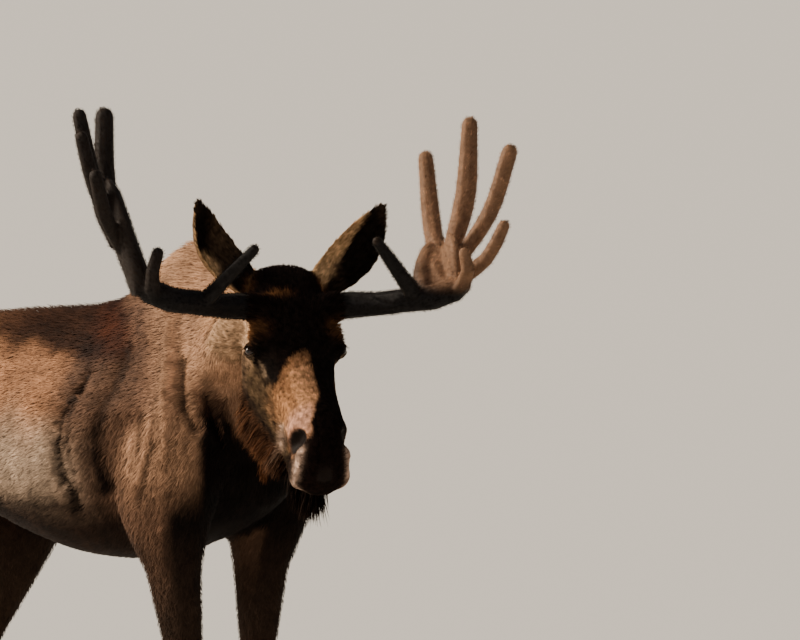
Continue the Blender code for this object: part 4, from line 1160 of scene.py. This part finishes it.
def build_antler(side):
    """One antler in its velvet, and the short upright hair on it."""
    nodes = [node for node in NODES if node.startswith(f"antler_{side}_")]
    mesh = melt(nodes, ANTLER_VOXEL)
    net = Net(mesh)
    write_points(mesh, net.settle(read_points(mesh), 36))
    mesh = thin(mesh, ANTLER_TRIANGLES)
    points, triangles = read_points(mesh), read_triangles(mesh)
    net = Net(mesh)
    points = net.settle(points, 3)
    normals = point_normals(points, triangles)
    write_points(mesh, points)
    bulge = ((points - net.spread(points, 10)) * normals).sum(axis=1)
    bulge = net.spread(bulge, 3)
    away = np.abs(to_head(points)[:, 1]) + 0.02 * ripple(points, (14.0, 14.0, 14.0))
    outer = smooth(*PALM_START, away) * smooth(-0.02, 0.03, points[:, 2] - BEAM_TOP)
    colours = toward(np.tile(linear(VELVET_BEAM_SHADED), (len(points), 1)), linear(VELVET_TINE_LIT_AND_SHADED[side]), outer)
    # a painted highlight on the raised rims and tines
    raised = smooth(0.0010, 0.0040, bulge) * (0.25 + 0.35 * outer)
    colours = toward(colours, linear(VELVET_RIM_HIGHLIGHT[side]), raised)
    set_colours(mesh, colours)
    shade_smooth(mesh)
    piece = link(mesh, f"antler_{side}")
    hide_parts(*nodes)
    base = points[size_of(points - HEAD_PLACE).argmin()]
    flow = unit(points - base) + (0.0, 0.0, 0.7)
    even = np.ones(len(points))
    # the velvet hair takes these colours, painted light and shade included, a little lighter
    fuzz = Ground(points, triangles, normals, flow, FUZZ_LENGTH * even, FUZZ_WIDTH * even,
                  0.62 * even, even, 1.35 * colours, 0.0 * even, 0.0 * even)
    every = np.ones(len(triangles), dtype=bool)
    return piece, sprout(f"velvet_hair_{side}", fuzz, every, FUZZ_TUFTS, 0.35, 0.30)


antlers = {side: build_antler(side) for side in SIDES}

# ---- eyes and lashes ----
CORNEA = 0.0011  # how far the cornea stands out of the ball
LASHES = 34  # on each upper lid


def build_eye(side):
    """An eyeball with its cornea; its own map holds the place on its front face."""
    centre, back, _, outwards = eye_frame(side)
    turn = Matrix(np.column_stack((back, np.cross(outwards, back), outwards)).tolist()).to_4x4()
    bm = bmesh.new()
    bmesh.ops.create_uvsphere(bm, u_segments=48, v_segments=36, radius=EYE_RADIUS - 0.0002)
    front = bm.loops.layers.uv.new("front")
    for face in bm.faces:
        face.smooth = True
        for loop in face.loops:
            place = loop.vert.co / (2 * EYE_RADIUS)
            loop[front].uv = (place.x + 0.5, place.y + 0.5)
    for vert in bm.verts:
        out = math.hypot(vert.co.x, vert.co.y) / (0.62 * EYE_RADIUS)
        if vert.co.z > 0 and out < 1:
            vert.co.z += CORNEA * (1 - out ** 2) ** 1.5
    bmesh.ops.transform(bm, matrix=Matrix.Translation(centre) @ turn, verts=bm.verts)
    name = f"eyeball_{side}"
    piece = link(made_mesh(bm, name), name)
    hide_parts(f"eye_{side}")
    return piece


def build_lashes():
    rng = np.random.default_rng(SEED)
    parts = []
    for side in SIDES:
        centre, back, up, outwards = eye_frame(side)
        a = np.linspace(-0.80, 0.86, LASHES) * LID_HALF
        b = LID_RISE * (1.0 - np.abs(a / LID_HALF) ** 2.2) ** 0.85
        c = np.sqrt((EYE_RADIUS + 0.6 * LID_THICK) ** 2 - a ** 2 - b ** 2)
        roots = centre + np.outer(a, back) + np.outer(b, up) + np.outer(c, outwards)
        flow = outwards - 0.42 * up - np.outer(0.55 * a / LID_HALF, -back)
        flow = unit(flow + 0.10 * rng.normal(size=roots.shape))
        parts.append((roots, np.tile(up, (LASHES, 1)), flow))
    roots, normals, flow = (np.concatenate(kind) for kind in zip(*parts))
    normals = unit(normals - flow * (flow * normals).sum(axis=1)[:, None])
    count = len(roots)
    length = rng.uniform(0.010, 0.016, count)
    places = np.column_stack((np.linspace(0.02, 0.97, count), np.full(count, 0.5)))
    return blades("lashes", roots, normals, flow, length, np.full(count, 0.0009),
                  np.full(count, -0.22), np.tile(linear("#0e0a08"), (count, 1)), places)


eyeballs = [build_eye(side) for side in SIDES]
lashes = build_lashes()

# ---- hooves ----
HORN_VOXEL = 0.0026
HORN_TRIANGLES = 30000


def build_hooves():
    """All hooves and dewclaws, with their facets smoothed away."""
    nodes = [node for node in NODES if node.startswith(("hoof", "dewclaw"))]
    mesh = melt(nodes, HORN_VOXEL)
    points = Net(mesh).settle(read_points(mesh), 12)
    points[:, 2] = np.maximum(points[:, 2], 0.0)
    write_points(mesh, points)
    mesh = thin(mesh, HORN_TRIANGLES)
    shade_smooth(mesh)
    piece = link(mesh, "hooves")
    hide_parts(*nodes)
    return piece


hooves = build_hooves()
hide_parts(*(node for nodes in REGIONS.values() for node in nodes if "eye" not in node))


# ---- materials ----
def add(tree, kind, values=None, links=None, **settings):
    """Add a node with its settings, the values of its sockets and the outputs that feed them."""
    node = tree.nodes.new(kind)
    for name, value in settings.items():
        setattr(node, name, value)
    for socket, value in (values or {}).items():
        node.inputs[socket].default_value = value
    for socket, output in (links or {}).items():
        tree.links.new(output, node.inputs[socket])
    return node


def start(name, values):
    """A new material whose shader has these values: its tree, its shader and its pattern space."""
    material = bpy.data.materials.new(name)
    material.use_nodes = True
    tree = material.node_tree
    tree.nodes.clear()
    shader = add(tree, "ShaderNodeBsdfPrincipled", values)
    add(tree, "ShaderNodeOutputMaterial", links={"Surface": shader.outputs["BSDF"]})
    place = add(tree, "ShaderNodeTexCoord").outputs["Object"]
    return material, tree, shader, place


def shown(code):
    """A hex colour as a socket takes it."""
    return (*linear(code), 1.0)


def per_metre(millimetres):
    """The scale of a pattern whose features are this many millimetres apart."""
    return 1000.0 / millimetres


def grain(tree, place, millimetres, detail):
    """Soft noise whose features are this many millimetres apart."""
    scales = {"Scale": per_metre(millimetres), "Detail": detail}
    return add(tree, "ShaderNodeTexNoise", scales, {"Vector": place}).outputs["Fac"]


def ranged(tree, value, low, high, to_low=0.0, to_high=1.0):
    """A value carried over from one range to another, and held within it."""
    ends = {"From Min": low, "From Max": high, "To Min": to_low, "To Max": to_high}
    return add(tree, "ShaderNodeMapRange", ends, {"Value": value}).outputs[0]


def times_plus(tree, first, factor, second):
    """A first value, times a factor, plus a second value."""
    sockets = {0: first, 2: second}
    return add(tree, "ShaderNodeMath", {1: factor}, sockets, operation="MULTIPLY_ADD").outputs[0]


def scaled(tree, colour, factor):
    return add(tree, "ShaderNodeVectorMath", links={0: colour, "Scale": factor}, operation="SCALE").outputs[0]


def blended(tree, amount, first, code):
    """A colour, which is a hex code or an output, drawn towards a hex colour."""
    values, links = {7: shown(code)}, {0: amount}
    if isinstance(first, str):
        values[6] = shown(first)
    else:
        links[6] = first
    return add(tree, "ShaderNodeMix", values, links, data_type="RGBA").outputs[2]


def emboss(tree, shader, height, strength, distance):
    bump = add(tree, "ShaderNodeBump", {"Strength": strength, "Distance": distance}, {"Height": height})
    tree.links.new(bump.outputs[0], shader.inputs["Normal"])


def mottle(tree, shader, place, patch, streak, contrast):
    """Give a shader the coat's colour, varied in soft patches and finer streaks (millimetres)."""
    colour = add(tree, "ShaderNodeAttribute", attribute_name="pelage").outputs["Color"]
    both = times_plus(tree, grain(tree, place, streak, 2.0), 0.6, grain(tree, place, patch, 3.0))
    shade = ranged(tree, both, 0.55, 1.05, 1.0 - contrast, 1.0 + contrast)
    tree.links.new(scaled(tree, colour, shade), shader.inputs["Base Color"])


def coat_finish(name, patch, streak, contrast, roughness, sheen):
    """Real hair: soft broad highlights, a little sheen at grazing angles, mottled colour."""
    material, tree, shader, place = start(name, {
        "Roughness": roughness,
        "Specular IOR Level": 0.02,
        "Sheen Weight": sheen,
        "Sheen Roughness": 0.45,
    })
    mottle(tree, shader, place, patch, streak, contrast)
    return material


HAIR_SLOPE = math.radians(26.6)  # of the trunk's hair, downwards from level


def skin_finish():
    """Hide and short flat hair: matt and streaked along its lie; damp and pebbled where bare."""
    material, tree, shader, place = start("hide", {"Specular IOR Level": 0.04})
    mottle(tree, shader, place, 38, 5, 0.22)
    open_skin = add(tree, "ShaderNodeAttribute", attribute_name="bare").outputs["Fac"]
    tree.links.new(ranged(tree, open_skin, 0.0, 1.0, 0.85, 0.48), shader.inputs["Roughness"])
    pebbles = add(tree, "ShaderNodeTexVoronoi", {"Scale": per_metre(2.2)}, {"Vector": place})
    lie = add(tree, "ShaderNodeMapping", {"Rotation": (0.0, -HAIR_SLOPE, 0.0), "Scale": (5.0, 1.0, 1.0)},
              {"Vector": place}, vector_type="TEXTURE")
    hair = grain(tree, lie.outputs[0], 2.6, 2.0)
    height = add(tree, "ShaderNodeMix", links={0: open_skin, 2: hair, 3: pebbles.outputs["Distance"]})
    emboss(tree, shader, height.outputs[0], 0.6, 0.0012)
    return material


def velvet_finish():
    """Velvet: living skin over the antler, dense short hair, so a soft sheen at edges."""
    material, tree, shader, place = start("antler_velvet", {
        "Roughness": 0.70,
        "Specular IOR Level": 0.20,
        "Sheen Weight": 0.08,
        "Sheen Roughness": 0.35,
        "Sheen Tint": shown("#b9a58c"),
    })
    mottle(tree, shader, place, 30, 4, 0.25)
    veins = ranged(tree, grain(tree, place, 36, 1.0), 0.49, 0.52)
    height = times_plus(tree, grain(tree, place, 2.0, 3.0), 0.5, veins)
    emboss(tree, shader, height, 0.5, 0.0012)
    return material


def horn_finish():
    """Keratin: satin, with growth rings about 5 mm apart, paler and scuffed at the wearing edge."""
    material, tree, shader, place = start("hoof_horn", {})
    rise = add(tree, "ShaderNodeSeparateXYZ", links={0: place}).outputs["Z"]
    bent = times_plus(tree, grain(tree, place, 30, 2.0), 0.010, rise)
    turns = add(tree, "ShaderNodeMath", {1: per_metre(5) * 2 * math.pi}, {0: bent}, operation="MULTIPLY")
    rings = add(tree, "ShaderNodeMath", links={0: turns.outputs[0]}, operation="SINE").outputs[0]
    worn = ranged(tree, rise, 0.030, 0.004)
    scuff = grain(tree, place, 7, 4.0)
    amount = add(tree, "ShaderNodeMath", links={0: worn, 1: scuff}, operation="MULTIPLY").outputs[0]
    colour = blended(tree, amount, "#221d19", "#6f6355")
    banded = scaled(tree, colour, ranged(tree, rings, -1.0, 1.0, 0.82, 1.15))
    tree.links.new(banded, shader.inputs["Base Color"])
    tree.links.new(ranged(tree, scuff, 0.0, 1.0, 0.36, 0.60), shader.inputs["Roughness"])
    emboss(tree, shader, rings, 0.35, 0.0008)
    return material


def eye_finish():
    """A wet eye: a dark brown iris with a level pupil, under a clear glossy film of tears."""
    material, tree, shader, _ = start("wet_eye", {
        "Roughness": 0.20,
        "Specular IOR Level": 0.20,
        "Coat Weight": 0.50,
        "Coat Roughness": 0.03,
    })
    front = add(tree, "ShaderNodeUVMap", uv_map="front").outputs["UV"]
    middle = add(tree, "ShaderNodeVectorMath", {1: (0.5, 0.5, 0.0)}, {0: front}, operation="SUBTRACT")
    middle = middle.outputs[0]
    out = add(tree, "ShaderNodeVectorMath", links={0: middle}, operation="LENGTH").outputs["Value"]
    flat = add(tree, "ShaderNodeVectorMath", {1: (1.0, 1.9, 1.0)}, {0: middle}, operation="MULTIPLY")
    oval = add(tree, "ShaderNodeVectorMath", links={0: flat.outputs[0]}, operation="LENGTH").outputs["Value"]
    rays = add(tree, "ShaderNodeTexNoise", {"Scale": 9.0, "Detail": 4.0}, {"Vector": middle}).outputs["Fac"]
    colour = blended(tree, rays, "#1a0e08", "#3e2312")
    colour = blended(tree, ranged(tree, oval, 0.205, 0.175), colour, "#030202")
    colour = blended(tree, ranged(tree, out, 0.315, 0.345), colour, "#0b0706")
    colour = blended(tree, ranged(tree, out, 0.385, 0.415), colour, "#a3968c")
    tree.links.new(colour, shader.inputs["Base Color"])
    return material


def wear(piece, material):
    """Give a piece its material and its slot, and let it ride on the still body."""
    piece.data.materials.clear()
    piece.data.materials.append(material)
    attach(piece, "root")


body_hair = coat_finish("body_hair", 42, 7, 0.28, 0.52, 0.03)
face_hair = coat_finish("face_hair", 24, 3, 0.22, 0.85, 0.0)
leg_hair = coat_finish("leg_hair", 30, 4, 0.20, 0.55, 0.03)
velvet_hair = coat_finish("velvet_hair", 30, 4, 0.20, 0.60, 0.05)
antler_velvet = velvet_finish()
wear(skin, skin_finish())
for name, piece in coat.items():
    if "face" in name or "ear" in name or "bell" in name:
        wear(piece, face_hair)
    elif "leg" in name:
        wear(piece, leg_hair)
    else:
        wear(piece, body_hair)
for antler, fuzz in antlers.values():
    wear(antler, antler_velvet)
    wear(fuzz, velvet_hair)
wet_eye = eye_finish()
for eyeball in eyeballs:
    wear(eyeball, wet_eye)
wear(lashes, face_hair)
wear(hooves, horn_finish())

# ---- floor, light and camera ----
FLOOR_REACH = 3000.0  # past the camera's horizon, in squares that grow outwards
CAMERA_TURN = math.radians(45.0)
CAMERA_AWAY = 20.0
CAMERA_LENS = 346.5
AIM_FROM_POLL = Vector((0.2302, 0.1848, -0.133))


def build_floor():
    bm = bmesh.new()
    bmesh.ops.create_grid(bm, x_segments=12, y_segments=12, size=1.0)
    for vert in bm.verts:
        vert.co = FLOOR_REACH * Vector((vert.co.x ** 3, vert.co.y ** 3, 0.0))
    floor = link(made_mesh(bm, "floor"), "floor")
    material = start("pale_floor", {"Base Color": shown("#cfccc6"), "Roughness": 0.85})[0]
    floor.data.materials.append(material)


def aim(thing, direction):
    """Turn a camera or lamp to look along a direction."""
    thing.rotation_euler = Vector(direction).to_track_quat("-Z", "Y").to_euler()


def build_light(name, way, strength, spread, colour):
    lamp = bpy.data.lights.new(name, "SUN")
    lamp.energy = strength
    lamp.angle = math.radians(spread)
    lamp.color = linear(colour)
    aim(link(lamp, name), -Vector(way))


def build_camera():
    back = Vector((
        math.sin(CAMERA_TURN) * math.cos(SEEN_RISE),
        -math.cos(CAMERA_TURN) * math.cos(SEEN_RISE),
        math.sin(SEEN_RISE),
    ))
    camera = link(bpy.data.cameras.new("camera"), "camera")
    camera.location = Vector(HEAD_PLACE) + AIM_FROM_POLL + back * CAMERA_AWAY
    aim(camera, -back)
    camera.data.lens = CAMERA_LENS
    camera.data.sensor_width = 36.0
    camera.data.clip_end = 2 * FLOOR_REACH
    bpy.context.scene.camera = camera


build_floor()
build_light("key", (-0.690, -0.490, 0.530), 7.6, 34.0, "#fff0dc")
build_light("fill", (0.60, -0.75, 0.50), 0.30, 60.0, "#e8eefa")
world = bpy.data.worlds.new("studio")
bpy.context.scene.world = world
world.use_nodes = True
backdrop = world.node_tree.nodes["Background"]
backdrop.inputs["Color"].default_value = shown("#e6e8ec")
backdrop.inputs["Strength"].default_value = 0.28
build_camera()
